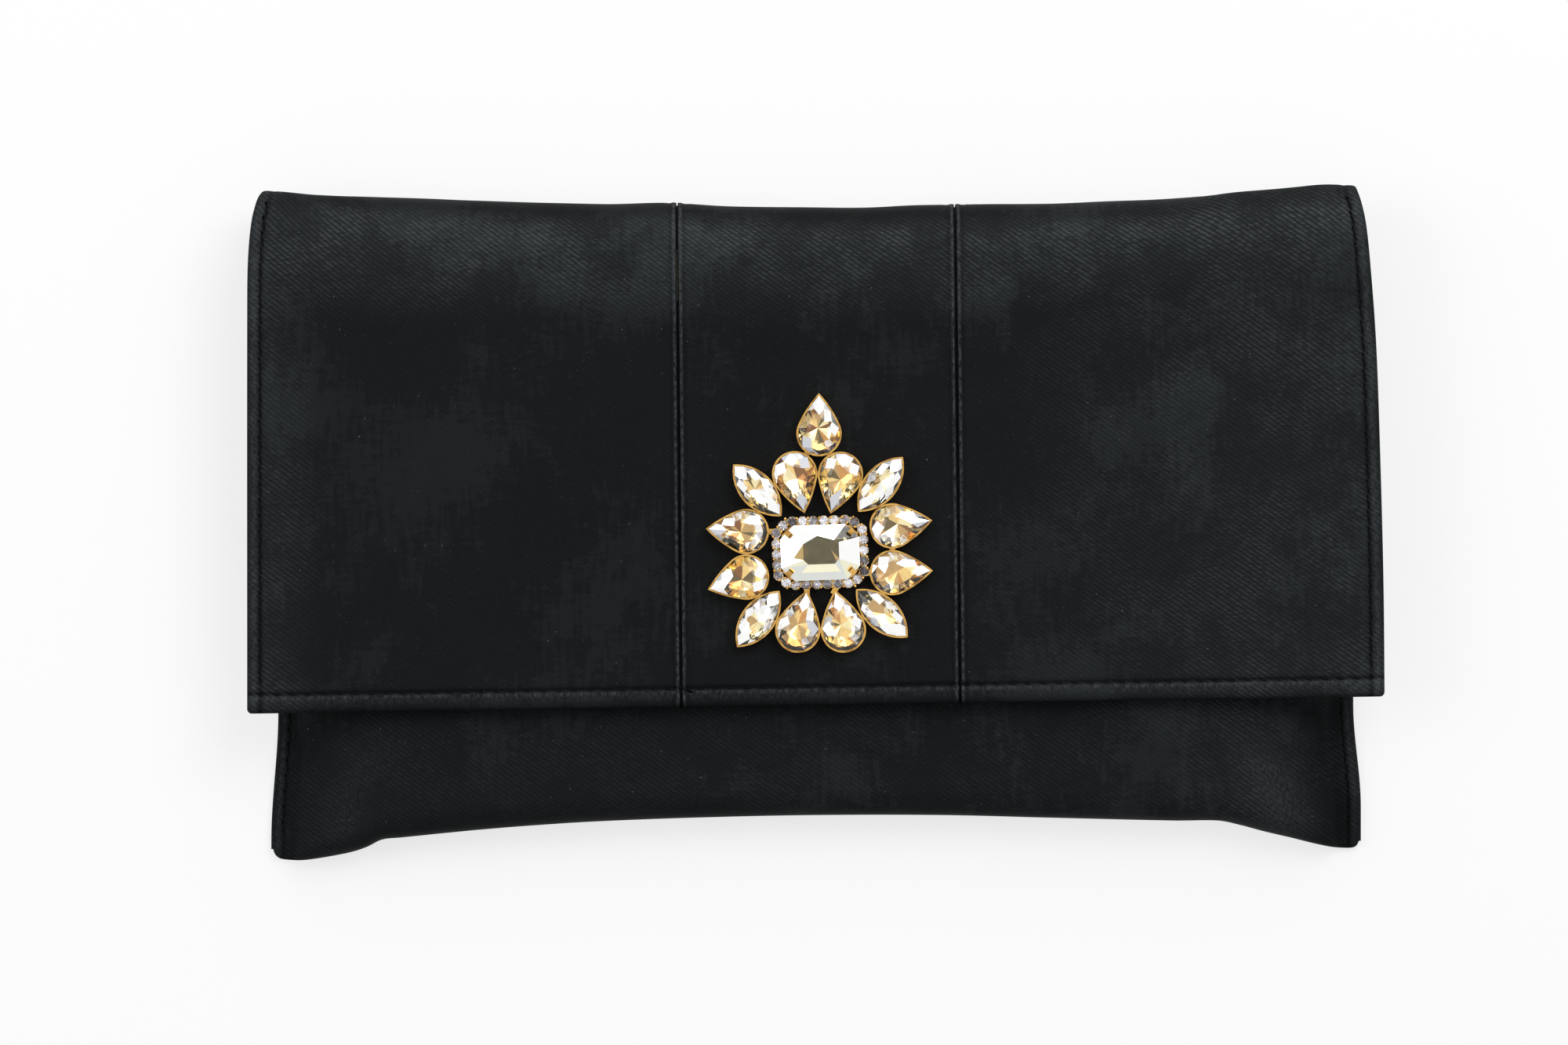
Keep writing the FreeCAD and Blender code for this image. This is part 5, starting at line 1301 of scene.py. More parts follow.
# ---- pouch
@dataclass(frozen=True)
class PouchCloth:
    """The bag under the flap: satin front, base and back, side seams, mouth, lining and pocket."""

    sizes: ClutchSizes
    outline: Outline
    cloth: ClothSizes
    wardrobe: Wardrobe

    def fill(self, x: float) -> float:
        """Return how far the pouch is filled out at x."""
        inner = self.outline.body_half(-0.05, True) - self.sizes.seam_flange
        share = (abs(x) - self.sizes.flat_half) / (inner - self.sizes.flat_half)
        if share <= 0:
            return 1.0
        return sqrt(max(0.0, 1 - min(share, 1.0) ** 2))

    def section(self, x: float) -> tuple[float, float, float, Point]:
        """Return the sizes of the pouch's section.

        Args:
            x: Place along the fold.

        Returns:
            The front's slope, the base's radius, the front's height at the mouth and the base's centre.
        """
        sizes = self.sizes
        fill = self.fill(x)
        slope = sizes.slope * fill
        mouth_z = sizes.seam_height + (sizes.mouth_z - sizes.seam_height) * fill
        low = self.outline.base_y(x)
        span = sizes.mouth_y - low
        radius = (mouth_z * cos(slope) - span * sin(slope)) / (1 + cos(slope) - sin(slope))
        return slope, radius, mouth_z, (low + radius, radius)

    def ring(self, x: float, depth: float, count: tuple[int, int, int], top: float,
             back_end: float) -> list[tuple[Point, float]]:
        """Return the pouch's section at x from the mouth round the base to the back.

        Args:
            x: Place along the fold.
            depth: Depth under the outer skin.
            count: Points down the front, round the base and up the back.
            top: The y at which the front starts.
            back_end: The y at which the back ends.

        Returns:
            ((y, z), length along the section) of each point.
        """
        slope, radius, _, (centre_y, centre_z) = self.section(x)
        inner = max(0.05 * MM, radius - depth)
        foot_y, foot_z = centre_y - inner * sin(slope), centre_z + inner * cos(slope)
        front, base, back = count
        points = []
        for k in range(front):
            y = top + (foot_y - top) * (k / front)
            points.append((y, foot_z + (y - foot_y) * tan(slope)))
        start = pi / 2 + slope
        for k in range(base):
            angle = start + (1.5 * pi - start) * k / base
            points.append((centre_y + inner * cos(angle), centre_z + inner * sin(angle)))
        points += [(centre_y + (back_end - centre_y) * (k / back), depth) for k in range(back + 1)]
        lengths = [0.0]
        for before, point in zip(points, points[1:]):
            lengths.append(lengths[-1] + dist(point, before))
        return list(zip(points, lengths))

    def softness(self, x: float, y: float, z: float) -> float:
        """Return the soft unevenness of the pouch's cloth."""
        broad = noise.noise(Vector((x * 24, y * 30, 9.1))) * 0.45 * MM
        return broad * ease(1.5 * MM, 5 * MM, z)

    def tone(self, x: float, y: float, from_side: float) -> float:
        """Return the painted shade (below 0) or painted highlight (above 0) on the pouch's cloth at a place.
        """
        # Painted shade in the side stitches' valley, painted highlight on the lip beside it.
        tone = -0.50 * bell(from_side, 2.6 * MM, 0.5 * MM) + 0.42 * bell(from_side, 1.2 * MM, 0.7 * MM)
        # Painted shade in a hollow inside each lower corner, painted highlight on a ridge beside it, stronger
        # on the right.
        low = ease(-46, -58, y / MM) * ease(-77, -70, y / MM)
        painted_shade = bell(abs(x), (118 + 6 * ease(-44, -70, y / MM)) * MM, 5.5 * MM)
        ridge = bell(abs(x), (101 + 9 * ease(-46, -66, y / MM)) * MM, 6 * MM)
        side = 1.0 if x > 0 else 0.35
        return tone - 0.55 * painted_shade * side * ease(-40, -44, y / MM) + 0.30 * ridge * low * side

    def stations(self) -> list[float]:
        """Return the x places of the sections, edge to edge."""
        half = self.outline.body_half(-0.08, True)
        zone = half - 34 * MM
        spread = graded(-half, half, 2.6 * MM, 0.8 * MM, [(-half, -zone), (zone, half)])
        rim = [half - gap * MM for gap in (0.12, 0.3, 0.55, 1.2)]
        return sorted(spread + rim + [-x for x in rim])

    def hem(self, x: float, top: Point) -> list[tuple[Point, float]]:
        """Return the turned hem's section, from its hidden edge up and round to the mouth.

        Args:
            x: Place along the fold.
            top: The mouth's place (y, z).

        Returns:
            ((y, z), length before the mouth, below 0) of each point.
        """
        fill = self.fill(x)
        wall = self.sizes.wall_thickness / 2 * fill + 0.35 * MM * (1 - fill)
        slope, (top_y, top_z) = self.section(x)[0], top
        points = []
        for run in (5.4 * MM, 3.6 * MM, 1.8 * MM, 0.0):
            points.append(((top_y - run, top_z - 2 * wall - run * tan(slope)), -run - pi * wall))
        for k in range(1, 6):
            angle = pi * k / 6
            points.append(((top_y + wall * sin(angle), top_z - wall - wall * cos(angle)),
                           -pi * wall * (1 - k / 6)))
        return points

    def cover(self) -> Object:
        """Make the satin front, base and back in one piece."""
        sizes = self.sizes
        xs = self.stations()
        half, seam_middle = xs[-1], sizes.seam_height / 2
        grid = []
        for number, x in enumerate([xs[0]] + xs + [xs[-1]]):
            capped = number in (0, len(xs) + 1)
            ring = self.ring(x, 0.0, (64, 16, 60), sizes.mouth_y, sizes.fold_y - 2.0 * MM)
            points = []
            for (y, z), run in self.hem(x, ring[0][0]) + ring:
                edge = self.outline.body_half(y, x > 0)
                px = x * edge / half
                from_side = edge - abs(px)
                height = self.softness(px, y, z) if z > 2 * MM else 0.0
                if z > 0.2 * MM:
                    height -= 0.30 * MM * bell(from_side, self.cloth.pouch_stitch, 0.5 * MM)
                if capped:
                    px += copysign(0.45 * MM, px)
                    z = seam_middle + (z - seam_middle) * 0.15
                elif from_side < 1e-6:
                    z = seam_middle + (z - seam_middle) * 0.75
                points.append((Vector((px, y, z + height)), (px, run), self.tone(px, y, from_side)))
            grid.append(points)
        piece = grid_object("pouch_cover", grid, flip=True)
        finish_sheet(piece, self.cloth.skin, self.wardrobe.body_satin)
        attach(piece, "pouch")
        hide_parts("pouch_satin", "mouth_hem", "left_side_seam", "right_side_seam")
        cut_size(piece)
        return piece

    def lining(self) -> Object:
        """Make the pouch's lining."""
        sizes = self.sizes
        half = self.outline.body_half(-0.03, False) - sizes.seam_flange - 0.2 * MM
        xs = graded(-half, half, 4.0 * MM, 1.2 * MM, [(-half, -half + 0.03), (half - 0.03, half)])
        depth = 2.1 * MM
        widest = self.outline.body_half(-0.08, True)
        grid = []
        for x in xs:
            thin = min(depth, (self.section(x)[2] - 0.3 * MM) / 2 * 0.9)
            ring = self.ring(x, thin, (40, 12, 44), sizes.mouth_y - 2.0 * MM, sizes.fold_y - 1.0 * MM)
            grid.append([(Vector((x * self.outline.body_half(y, x > 0) / widest, y, z)), (x, run), 0.0)
                         for (y, z), run in ring])
        piece = grid_object("pouch_lining_cloth", grid)
        finish_sheet(piece, self.cloth.lining, self.wardrobe.lining)
        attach(piece, "pouch")
        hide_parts("pouch_lining")
        cut_size(piece)
        return piece

    def pocket(self) -> Object:
        """Make the slip pocket on the back lining, a little open at its top."""
        low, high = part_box("slip_pocket")
        across, along = 40, 30

        def knot(i: int, j: int) -> Knot:
            """Return the knot at a column and row."""
            u, v = i / across, j / along
            gape = sin(pi * u) * ease(0.35, 1.0, v) * 1.3 * MM
            band = 0.3 * MM * ease(0.86, 0.9, v)
            edge = 0.25 * MM * (bell(u, 0.0, 0.03) + bell(u, 1.0, 0.03) + bell(v, 0.0, 0.04))
            return (Vector((low.x + (high.x - low.x) * u, low.y + (high.y - low.y) * v,
                            low.z + 0.35 * MM + gape + band - edge)), (i * 3 * MM, j * 2.2 * MM), 0.0)

        piece = grid_object("slip_pocket_cloth", [[knot(i, j) for j in range(along + 1)]
                                                  for i in range(across + 1)])
        finish_sheet(piece, self.cloth.lining, self.wardrobe.lining)
        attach(piece, "pouch")
        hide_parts("slip_pocket")
        cut_size(piece)
        return piece

    def stitches(self) -> list[Object]:
        """Sew both side seams and the mouth."""
        sizes, cloth, up = self.sizes, self.cloth, Vector((0, 0, 1))
        lines = {}
        low, high = -71.5 * MM, sizes.mouth_y - 3 * MM
        for side, label in ((-1, "left"), (1, "right")):
            ys = [low + (high - low) * k / 85 for k in range(86)]
            xs = [side * (self.outline.body_half(y, side > 0) - cloth.pouch_stitch) for y in ys]
            lines["side_" + label] = [(Vector((x, y, sizes.seam_height - 0.28 * MM)), up)
                                      for x, y in zip(xs, ys)]
        lines["mouth"] = []
        for k in range(121):
            x = -110 * MM + 220 * MM * k / 120
            slope, _, mouth_z, _ = self.section(x)
            y, z = sizes.mouth_y - cloth.mouth_stitch, mouth_z - cloth.mouth_stitch * tan(slope)
            lines["mouth"].append((Vector((x, y, z + self.softness(x, y, z) + 0.02 * MM)), up))
        made = []
        for name, line in lines.items():
            made += StitchLine(self.wardrobe).sew("pouch_" + name, line)
        for piece in made:
            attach(piece, "pouch")
        return made

    def build(self) -> list[Object]:
        """Make every piece of the pouch."""
        return [self.cover(), self.lining(), self.pocket()] + self.stitches()


# ---- brooch
@dataclass(frozen=True)
class StoneSizes:
    """Sizes of the stones in millimetres and shares, and where they sit above the brooch's foot."""

    pear_length: float = 13.8
    pear_width: float = 9.8
    pear_side: float = 27.0
    navette_length: float = 15.5
    navette_width: float = 7.2
    octagon_length: float = 17.0
    octagon_width: float = 11.5
    octagon_cut: float = 1.6
    overhang: float = 0.75
    rest: float = 3.05
    seat: float = 2.68
    girdle: float = 0.3
    crown: float = 1.9
    pavilion: float = 1.15
    reach: float = 29.85
    rise: float = 35.55
    across: float = 1.1
    foot: float = 0.05
    centre_turn: float = 2.0
    girdle_corners: int = 16
    table_share: float = 0.46
    main_share: float = 0.80
    main_rise: float = 0.52
    foil_share: float = 0.50
    foil_drop: float = 0.62


@dataclass(frozen=True)
class HaloSizes:
    """Sizes of the row of small crystals, in millimetres, their tables and culets in shares."""

    count: int = 26
    half_x: float = 10.2
    half_y: float = 7.45
    cut: float = 2.57
    crystal: float = 1.12
    crown: float = 0.42
    depth: float = 0.8
    seat: float = 2.12
    table: float = 0.58
    culet: float = 0.12
    bead: float = 0.40
    bead_out: float = 0.72
    weld: float = 0.002


class ReflectionTint(Enum):
    """Colours that a foiled facet throws back: its champagne coat with painted reflections, pale at the rims
    and darker in the hearts.
    """

    WHITE = (0.96, 0.96, 0.95, 1.0)
    LILAC = (0.64, 0.65, 0.69, 1.0)
    GREY = (0.72, 0.74, 0.70, 1.0)
    CREAM = (0.97, 0.84, 0.48, 1.0)
    BUTTER = (0.97, 0.92, 0.68, 1.0)
    STRAW = (0.86, 0.84, 0.64, 1.0)
    GOLD = (0.94, 0.66, 0.25, 1.0)
    TAN = (0.58, 0.37, 0.15, 1.0)
    HONEY = (0.66, 0.32, 0.09, 1.0)
    BROWN = (0.26, 0.11, 0.035, 1.0)
    OLIVE = (0.15, 0.11, 0.045, 1.0)
    MOSS = (0.10, 0.088, 0.040, 1.0)


class Spread(Enum):
    """How often each colour of coat and painted reflection turns up in a ring of facets."""

    PEAR_HEART = {"TAN": 6, "GOLD": 5, "HONEY": 4, "CREAM": 4, "BROWN": 4, "OLIVE": 4}
    PEAR_RIM = {"WHITE": 5, "CREAM": 4, "TAN": 3, "LILAC": 2, "GOLD": 3, "HONEY": 2}
    NAVETTE_HEART = {"CREAM": 5, "TAN": 3, "OLIVE": 3, "WHITE": 4, "GOLD": 2}
    NAVETTE_RIM = {"WHITE": 8, "CREAM": 3, "GREY": 2, "TAN": 1}
    CENTRE_HEART = {"MOSS": 8, "OLIVE": 4, "TAN": 1}
    CENTRE_RIM = {"WHITE": 6, "CREAM": 4, "GREY": 4, "HONEY": 1}

    def pick(self, chance: random.Random) -> Colour:
        """Return one tint, drawn by its weight."""
        name = chance.choices(list(self.value), list(self.value.values()))[0]
        return ReflectionTint[name].value

    def patches(self, count: int, longest: int, chance: random.Random) -> list[Colour]:
        """Return a tint for each facet of a ring, in patches of neighbouring facets.

        Args:
            count: How many facets the ring has.
            longest: The most facets that one patch covers.
            chance: The stone's own chance.

        Returns:
            The tints.
        """
        tints: list[Colour] = []
        while len(tints) < count:
            tints += [self.pick(chance)] * chance.randint(1, longest)
        return tints[:count]


def cut_corners(x: float, y: float, cut: float) -> list[Point]:
    """Return the corners of a cut-corner rectangle with these half sizes, anticlockwise."""
    return [(x - cut, -y), (x, cut - y), (x, y - cut), (x - cut, y),
            (cut - x, y), (-x, y - cut), (-x, cut - y), (cut - x, -y)]


def both_sides(tip: float, upper: list[Point], heel: float) -> list[Point]:
    """Return a closed outline from its upper half and its two ends on the X axis."""
    return [(tip, 0.0)] + upper + [(heel, 0.0)] + [(x, -y) for x, y in reversed(upper)]


CLEAR, FOIL, FLASH = range(3)


@dataclass(frozen=True)
class Facet:
    """One flat face of a stone: its corners, its material and its colour of coat and painted reflection."""

    corners: list[Vector]
    material: int
    tint: Colour = ReflectionTint.WHITE.value


@dataclass(frozen=True)
class StoneCutter:
    """Cuts the stones' meshes, facet by facet, in millimetres on the brooch's own frame."""

    sizes: StoneSizes

    def pear_outline(self) -> list[Point]:
        """Return the girdle corners of a pear stone from its tip round: a round end and two flat arcs."""
        s, count = self.sizes, self.sizes.girdle_corners
        radius = s.pear_width / 2
        middle = radius - s.pear_length / 2
        tip = s.pear_length / 2
        reach, arm = tip - middle, s.pear_side - radius
        cosine = (reach ** 2 + arm ** 2 - s.pear_side ** 2) / (2 * reach * arm)
        side = (middle + arm * cosine, -arm * sqrt(1 - cosine ** 2))
        tangent = atan2(-side[1], middle - side[0])
        low = atan2(-side[1], tip - side[0])
        length_side = s.pear_side * (tangent - low)
        length_round = radius * (pi - tangent)
        whole = length_side + length_round
        upper = []
        for k in range(1, count // 2):
            travelled = whole * k / (count // 2)
            if travelled <= length_side:
                angle = low + travelled / s.pear_side
                upper.append((side[0] + s.pear_side * cos(angle),
                              side[1] + s.pear_side * sin(angle)))
            else:
                angle = tangent + (travelled - length_side) / radius
                upper.append((middle + radius * cos(angle), radius * sin(angle)))
        return both_sides(tip, upper, middle - radius)

    def navette_outline(self) -> list[Point]:
        """Return the girdle corners of a navette stone from its tip round: two arcs."""
        s, count = self.sizes, self.sizes.girdle_corners
        radius = (s.navette_length ** 2 + s.navette_width ** 2) / (4 * s.navette_width)
        drop = radius - s.navette_width / 2
        lean = atan2(drop, s.navette_length / 2)
        upper = []
        for k in range(1, count // 2):
            angle = lean + (pi - 2 * lean) * k / (count // 2)
            upper.append((radius * cos(angle), radius * sin(angle) - drop))
        return both_sides(s.navette_length / 2, upper, -s.navette_length / 2)

    def brilliant(self, outline: Sequence[Point], middle: float, heart: Spread, rim: Spread,
                  flash: Callable[[float], bool], seed: int) -> list[Facet]:
        """Return the facets of a pear or navette stone.

        Args:
            outline: Girdle corners, anticlockwise.
            middle: Where the table and the culet stand along the stone's length.
            heart: Colours of coat and painted reflection for the facets round the culet.
            rim: Colours of coat and painted reflection for the facets near the girdle.
            flash: Says whether the crown facet at an angle catches a lamp.
            seed: Number that fixes the stone's own play of tints.

        Returns:
            The facets.
        """
        s, count = self.sizes, len(outline)
        chance = random.Random(seed)
        top = s.seat + s.girdle

        def ring(share: float, height: float, skew: float = 0.0) -> list[Vector]:
            """Return the outline scaled about the middle."""
            return [Vector((middle + skew + (x - middle) * share, y * share, height)) for x, y in outline]

        table, mains = ring(s.table_share, top + s.crown), ring(s.main_share, top + s.crown * s.main_rise)
        upper, lower = ring(1.0, top), ring(1.0, s.seat)
        inner = ring(s.foil_share, s.seat - s.pavilion * s.foil_drop, 0.2)
        culet = Vector((middle + 0.5, 0.3, s.seat - s.pavilion))
        hearts, rims = heart.patches(count, 3, chance), rim.patches(count, 2, chance)
        facets = [Facet([table[i] for i in range(0, count, 2)], CLEAR)]
        for i in range(0, count, 2):
            a, b, z = (i + 1) % count, (i + 2) % count, (i - 1) % count
            lit = flash(atan2(upper[i].y, upper[i].x - middle))
            tint = ReflectionTint.WHITE.value if chance.random() < 0.8 else ReflectionTint.LILAC.value
            crowns = (([table[i], mains[a], table[b]], 0.3), ([table[i], mains[z], upper[i], mains[a]], 1.0),
                      ([mains[a], upper[i], upper[a]], 0.85), ([mains[a], upper[a], upper[b]], 0.75))
            for corners, odds in crowns:
                flashes = lit and (odds == 1.0 or chance.random() < odds)
                facets.append(Facet(corners, FLASH if flashes else CLEAR, tint))
            facets += [Facet([culet, inner[a], inner[i]], FOIL, hearts[i]),
                       Facet([culet, inner[b], inner[a]], FOIL, hearts[i + 1]),
                       Facet([inner[i], inner[a], lower[a], lower[i]], FOIL, rims[i]),
                       Facet([inner[a], inner[b], lower[b], lower[a]], FOIL, rims[i + 1])]
        for i in range(count):
            a = (i + 1) % count
            facets.append(Facet([upper[i], lower[i], lower[a], upper[a]], CLEAR))
        return facets

    def step_cut(self) -> list[Facet]:
        """Return the facets of the centre stone: long fancy cut whose heart carries dark painted reflections.
        """
        s = self.sizes
        chance = random.Random(11)
        half_x, half_y, over = s.octagon_length / 2, s.octagon_width / 2, s.overhang

        def level(inset_x: float, inset_y: float, cut: float, height: float,
                  skew: Point = (0.0, 0.0)) -> list[Vector]:
            """Return the cut-corner outline moved in by its insets."""
            corners = cut_corners(half_x - inset_x, half_y - inset_y, cut)
            return [Vector((x + skew[0], y + skew[1], height)) for x, y in corners]

        top = s.rest + s.girdle
        table = level(4.3, 2.5, 1.1, top + s.crown, (0.2, 0.55))
        upper = level(-over, -over, s.octagon_cut + 2 * over, top)
        lower = level(-over, -over, s.octagon_cut + 2 * over, s.rest)
        inner = level(3.4, 1.8, 1.0, s.rest - s.pavilion * 0.8, (0.2, 0.4))
        keel = [Vector((-2.4, 0.4, s.rest - s.pavilion)), Vector((2.6, 0.5, s.rest - s.pavilion))]
        for corner, drop in ((2, 0.3), (3, 0.9), (4, 1.1), (5, 0.6)):
            table[corner].y -= drop
        peak = Vector((-0.5, half_y - 2.5 + 0.75, table[0].z))
        waist = [near.lerp(far, 0.5) for near, far in ((table[7], upper[7]), (table[0], upper[0]))]
        notch = table[5].lerp(table[6], 0.75).lerp(upper[5].lerp(upper[6], 0.75), 0.45)
        t, u = table, upper
        cuts = (
            ((*t[:4], peak, *t[4:]), CLEAR, ReflectionTint.WHITE), ((t[0], u[0], t[1]), FLASH, ReflectionTint.GREY),
            ((t[1], u[0], u[1]), FLASH, ReflectionTint.STRAW), ((t[1], u[1], u[2], t[2]), FLASH, ReflectionTint.WHITE),
            ((t[2], u[2], t[3]), CLEAR, ReflectionTint.WHITE), ((t[3], u[2], u[3]), CLEAR, ReflectionTint.WHITE),
            ((t[3], u[3], peak), FLASH, ReflectionTint.WHITE), ((peak, u[3], u[4]), FLASH, ReflectionTint.GREY),
            ((peak, u[4], t[4]), FLASH, ReflectionTint.WHITE), ((t[4], u[4], t[5]), FLASH, ReflectionTint.WHITE),
            ((t[5], u[4], u[5]), FLASH, ReflectionTint.WHITE), ((t[5], u[5], notch), FLASH, ReflectionTint.WHITE),
            ((notch, u[5], u[6]), FLASH, ReflectionTint.WHITE), ((t[5], notch, t[6]), FOIL, ReflectionTint.OLIVE),
            ((t[6], notch, u[6]), FLASH, ReflectionTint.STRAW), ((t[6], u[6], t[7]), FLASH, ReflectionTint.STRAW),
            ((t[7], u[6], u[7]), FLASH, ReflectionTint.GREY), ((t[7], waist[0], waist[1], t[0]), FLASH, ReflectionTint.BUTTER),
            ((waist[0], u[7], u[0], waist[1]), FLASH, ReflectionTint.GREY),
        )
        facets = [Facet(list(corners), material, tint.value) for corners, material, tint in cuts]
        for i in range(8):
            a = (i + 1) % 8
            facets.append(Facet([upper[i], lower[i], lower[a], upper[a]], CLEAR))
            facets += [Facet([inner[i], inner[a], lower[i]], FOIL, Spread.CENTRE_RIM.pick(chance)),
                       Facet([inner[a], lower[a], lower[i]], FOIL, Spread.CENTRE_RIM.pick(chance))]
            if i in (3, 7):
                ends = (keel[1], keel[0]) if i == 3 else (keel[0], keel[1])
                facets += [Facet([inner[i], ends[0], inner[a]], FOIL, Spread.CENTRE_HEART.pick(chance)),
                           Facet([ends[0], ends[1], inner[a]], FOIL, Spread.CENTRE_HEART.pick(chance))]
            else:
                near = keel[1] if i in (0, 1, 2) else keel[0]
                facets.append(Facet([inner[i], near, inner[a]], FOIL, Spread.CENTRE_HEART.pick(chance)))
        return facets

    def mesh(self, name: str, facets: Sequence[Facet], place: Matrix) -> Object:
        """Make a stone's object with a colour of coat and painted reflection on each facet.

        Args:
            name: Name of the piece.
            facets: The stone's facets.
            place: Where the stone stands, in metres.

        Returns:
            The stone.
        """
        points: list[Vector] = []
        faces: list[list[int]] = []
        number: dict[tuple[float, ...], int] = {}
        corners = [corner for facet in facets for corner in facet.corners]
        centre = sum(corners, Vector()) / len(corners)
        for facet in facets:
            face = []
            for corner in facet.corners:
                key = tuple(round(c, 4) for c in corner)
                if key not in number:
                    number[key] = len(points)
                    points.append(place @ (corner * MM))
                if number[key] not in face:
                    face.append(number[key])
            normal = (facet.corners[1] - facet.corners[0]).cross(facet.corners[2] - facet.corners[0])
            if normal.dot(sum(facet.corners, Vector()) / len(facet.corners) - centre) < 0:
                face.reverse()
            faces.append(face)
        piece = new_mesh_object(name, points, faces, smooth=False)
        tints = piece.data.color_attributes.new("tint", "FLOAT_COLOR", "CORNER")
        for polygon, facet in zip(piece.data.polygons, facets):
            polygon.material_index = facet.material
            for k in polygon.loop_indices:
                tints.data[k].color = facet.tint
        return piece


class HaloItem(Enum):
    """What the halo's tree repeats."""

    CRYSTAL = "crystal"
    BEAD = "bead"


@dataclass(frozen=True)
class HaloRow:
    """The row of small crystals and beads, repeated by geometry nodes."""

    sizes: HaloSizes = HaloSizes()

    def spots(self, offset: float, grow: float) -> list[Vector]:
        """Return evenly spaced places round the halo.

        Args:
            offset: Share of the spacing at which the first stands.
            grow: Distance outside the halo's middle line.

        Returns:
            The places, in millimetres on the centre stone's frame.
        """
        s = self.sizes
        corners = [Vector(corner) for corner in cut_corners(
            s.half_x + grow, s.half_y + grow, s.cut + grow * (2 - sqrt(2)))]
        edges = list(zip(corners, corners[1:] + corners[:1]))
        whole = sum((b - a).length for a, b in edges)
        spots = []
        for k in range(s.count):
            left = whole * (k + offset) / s.count
            for a, b in edges:
                if left <= (b - a).length:
                    spot = a + (b - a).normalized() * left
                    spots.append(Vector((spot.x, spot.y, s.seat)))
                    break
                left -= (b - a).length
        return spots

    def tree(self, item: HaloItem, sizes: Mapping[str, float], materials: Sequence[Material]) -> NodeTree:
        """Build the tree that sets one item at every point.

        Args:
            item: What to repeat.
            sizes: Its sizes, by name.
            materials: Its finishes, the clear one first.

        Returns:
            The tree, with its sizes as named inputs.
        """
        nodes, size, out = new_tree(TreeKind.GEOMETRY, "halo_" + item.value, sizes, ("Geometry",))

        def open_cone(top: object, bottom: object, depth: object, gone: str) -> NodeSocket:
            """Return an eight-sided cone without one of its ends."""
            cone = nodes.add("GeometryNodeMeshCone", {"Vertices": 8, "Radius Top": top,
                                                      "Radius Bottom": bottom, "Depth": depth}).outputs
            return nodes.out("GeometryNodeDeleteGeometry", {"Geometry": cone[0], "Selection": cone[gone]},
                             domain="FACE")

        if item is HaloItem.CRYSTAL:
            table = nodes.times(size["Radius"], self.sizes.table)
            culet = nodes.times(size["Radius"], self.sizes.culet)
            crown = open_cone(table, size["Radius"], size["Crown"], "Bottom")
            back = open_cone(size["Radius"], culet, size["Depth"], "Top")
            drop = nodes.vector(Z=nodes.times(size["Depth"], -1.0))
            low = nodes.out("GeometryNodeTransform", {"Geometry": back, "Translation": drop})
            parts = nodes.add("GeometryNodeJoinGeometry")
            for part, material in zip((crown, low), materials):
                nodes.put(parts, {0: nodes.painted(part, material)})
            shape = parts.outputs[0]
        else:
            ball = nodes.out("GeometryNodeMeshIcoSphere", {"Radius": size["Radius"], "Subdivisions": 2})
            shape = nodes.painted(ball, materials[0])
        real = nodes.scattered(size["Geometry"], shape, nodes.attribute("turn", "QUATERNION"))
        whole = nodes.out("GeometryNodeMergeByDistance", {"Geometry": real, "Distance": self.sizes.weld * MM})
        flat = nodes.out("GeometryNodeSetShadeSmooth", {"Geometry": whole,
                                                        "Shade Smooth": item is HaloItem.BEAD})
        nodes.put(out, {0: flat})
        return nodes.tree

    def set(self, item: HaloItem, place: Matrix, materials: Sequence[Material],
            spots: Sequence[Vector], size: Sequence[float]) -> Object:
        """Set one kind of item round the halo.

        Args:
            item: What to set.
            place: The centre stone's frame, in metres.
            materials: The item's finishes.
            spots: Places in millimetres on that frame.
            size: Radius, crown and depth in millimetres.

        Returns:
            The items, as one plain mesh.
        """
        chance = random.Random(5)
        mesh = bpy.data.meshes.new("halo_" + item.value)
        mesh.from_pydata([tuple(place @ (spot * MM)) for spot in spots], [], [])
        turns = mesh.attributes.new("turn", "QUATERNION", "POINT")
        base = place.to_quaternion()
        for turn in turns.data:
            spin = Matrix.Rotation(chance.uniform(0, tau), 3, "Z")
            tilt = Matrix.Rotation(chance.uniform(-0.10, 0.10), 3, "X")
            turn.value = tuple(base @ (spin @ tilt).to_quaternion())
        sizes = dict(zip(("Radius", "Crown", "Depth"), (v * MM for v in size)))
        return repeated(mesh, self.tree(item, sizes, materials), sizes)

    def build(self, place: Matrix, wardrobe: Wardrobe) -> list[Object]:
        """Set the crystals in their row, and the beads outside and inside them.

        Args:
            place: The centre stone's frame, in metres.
            wardrobe: The finishes.

        Returns:
            The crystals and the beads.
        """
        s = self.sizes
        crystals = self.set(HaloItem.CRYSTAL, place, wardrobe.melee, self.spots(0.5, 0.0),
                            (s.crystal, s.crown, s.depth))
        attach(crystals, "flap")
        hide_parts("halo_crystals")
        spots = self.spots(0.0, s.bead_out) + self.spots(0.0, -s.bead_out)
        beads = self.set(HaloItem.BEAD, place, (wardrobe.gold,), spots, (s.bead, 0.0, 0.0))
        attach(beads, "flap")
        return [crystals, beads]


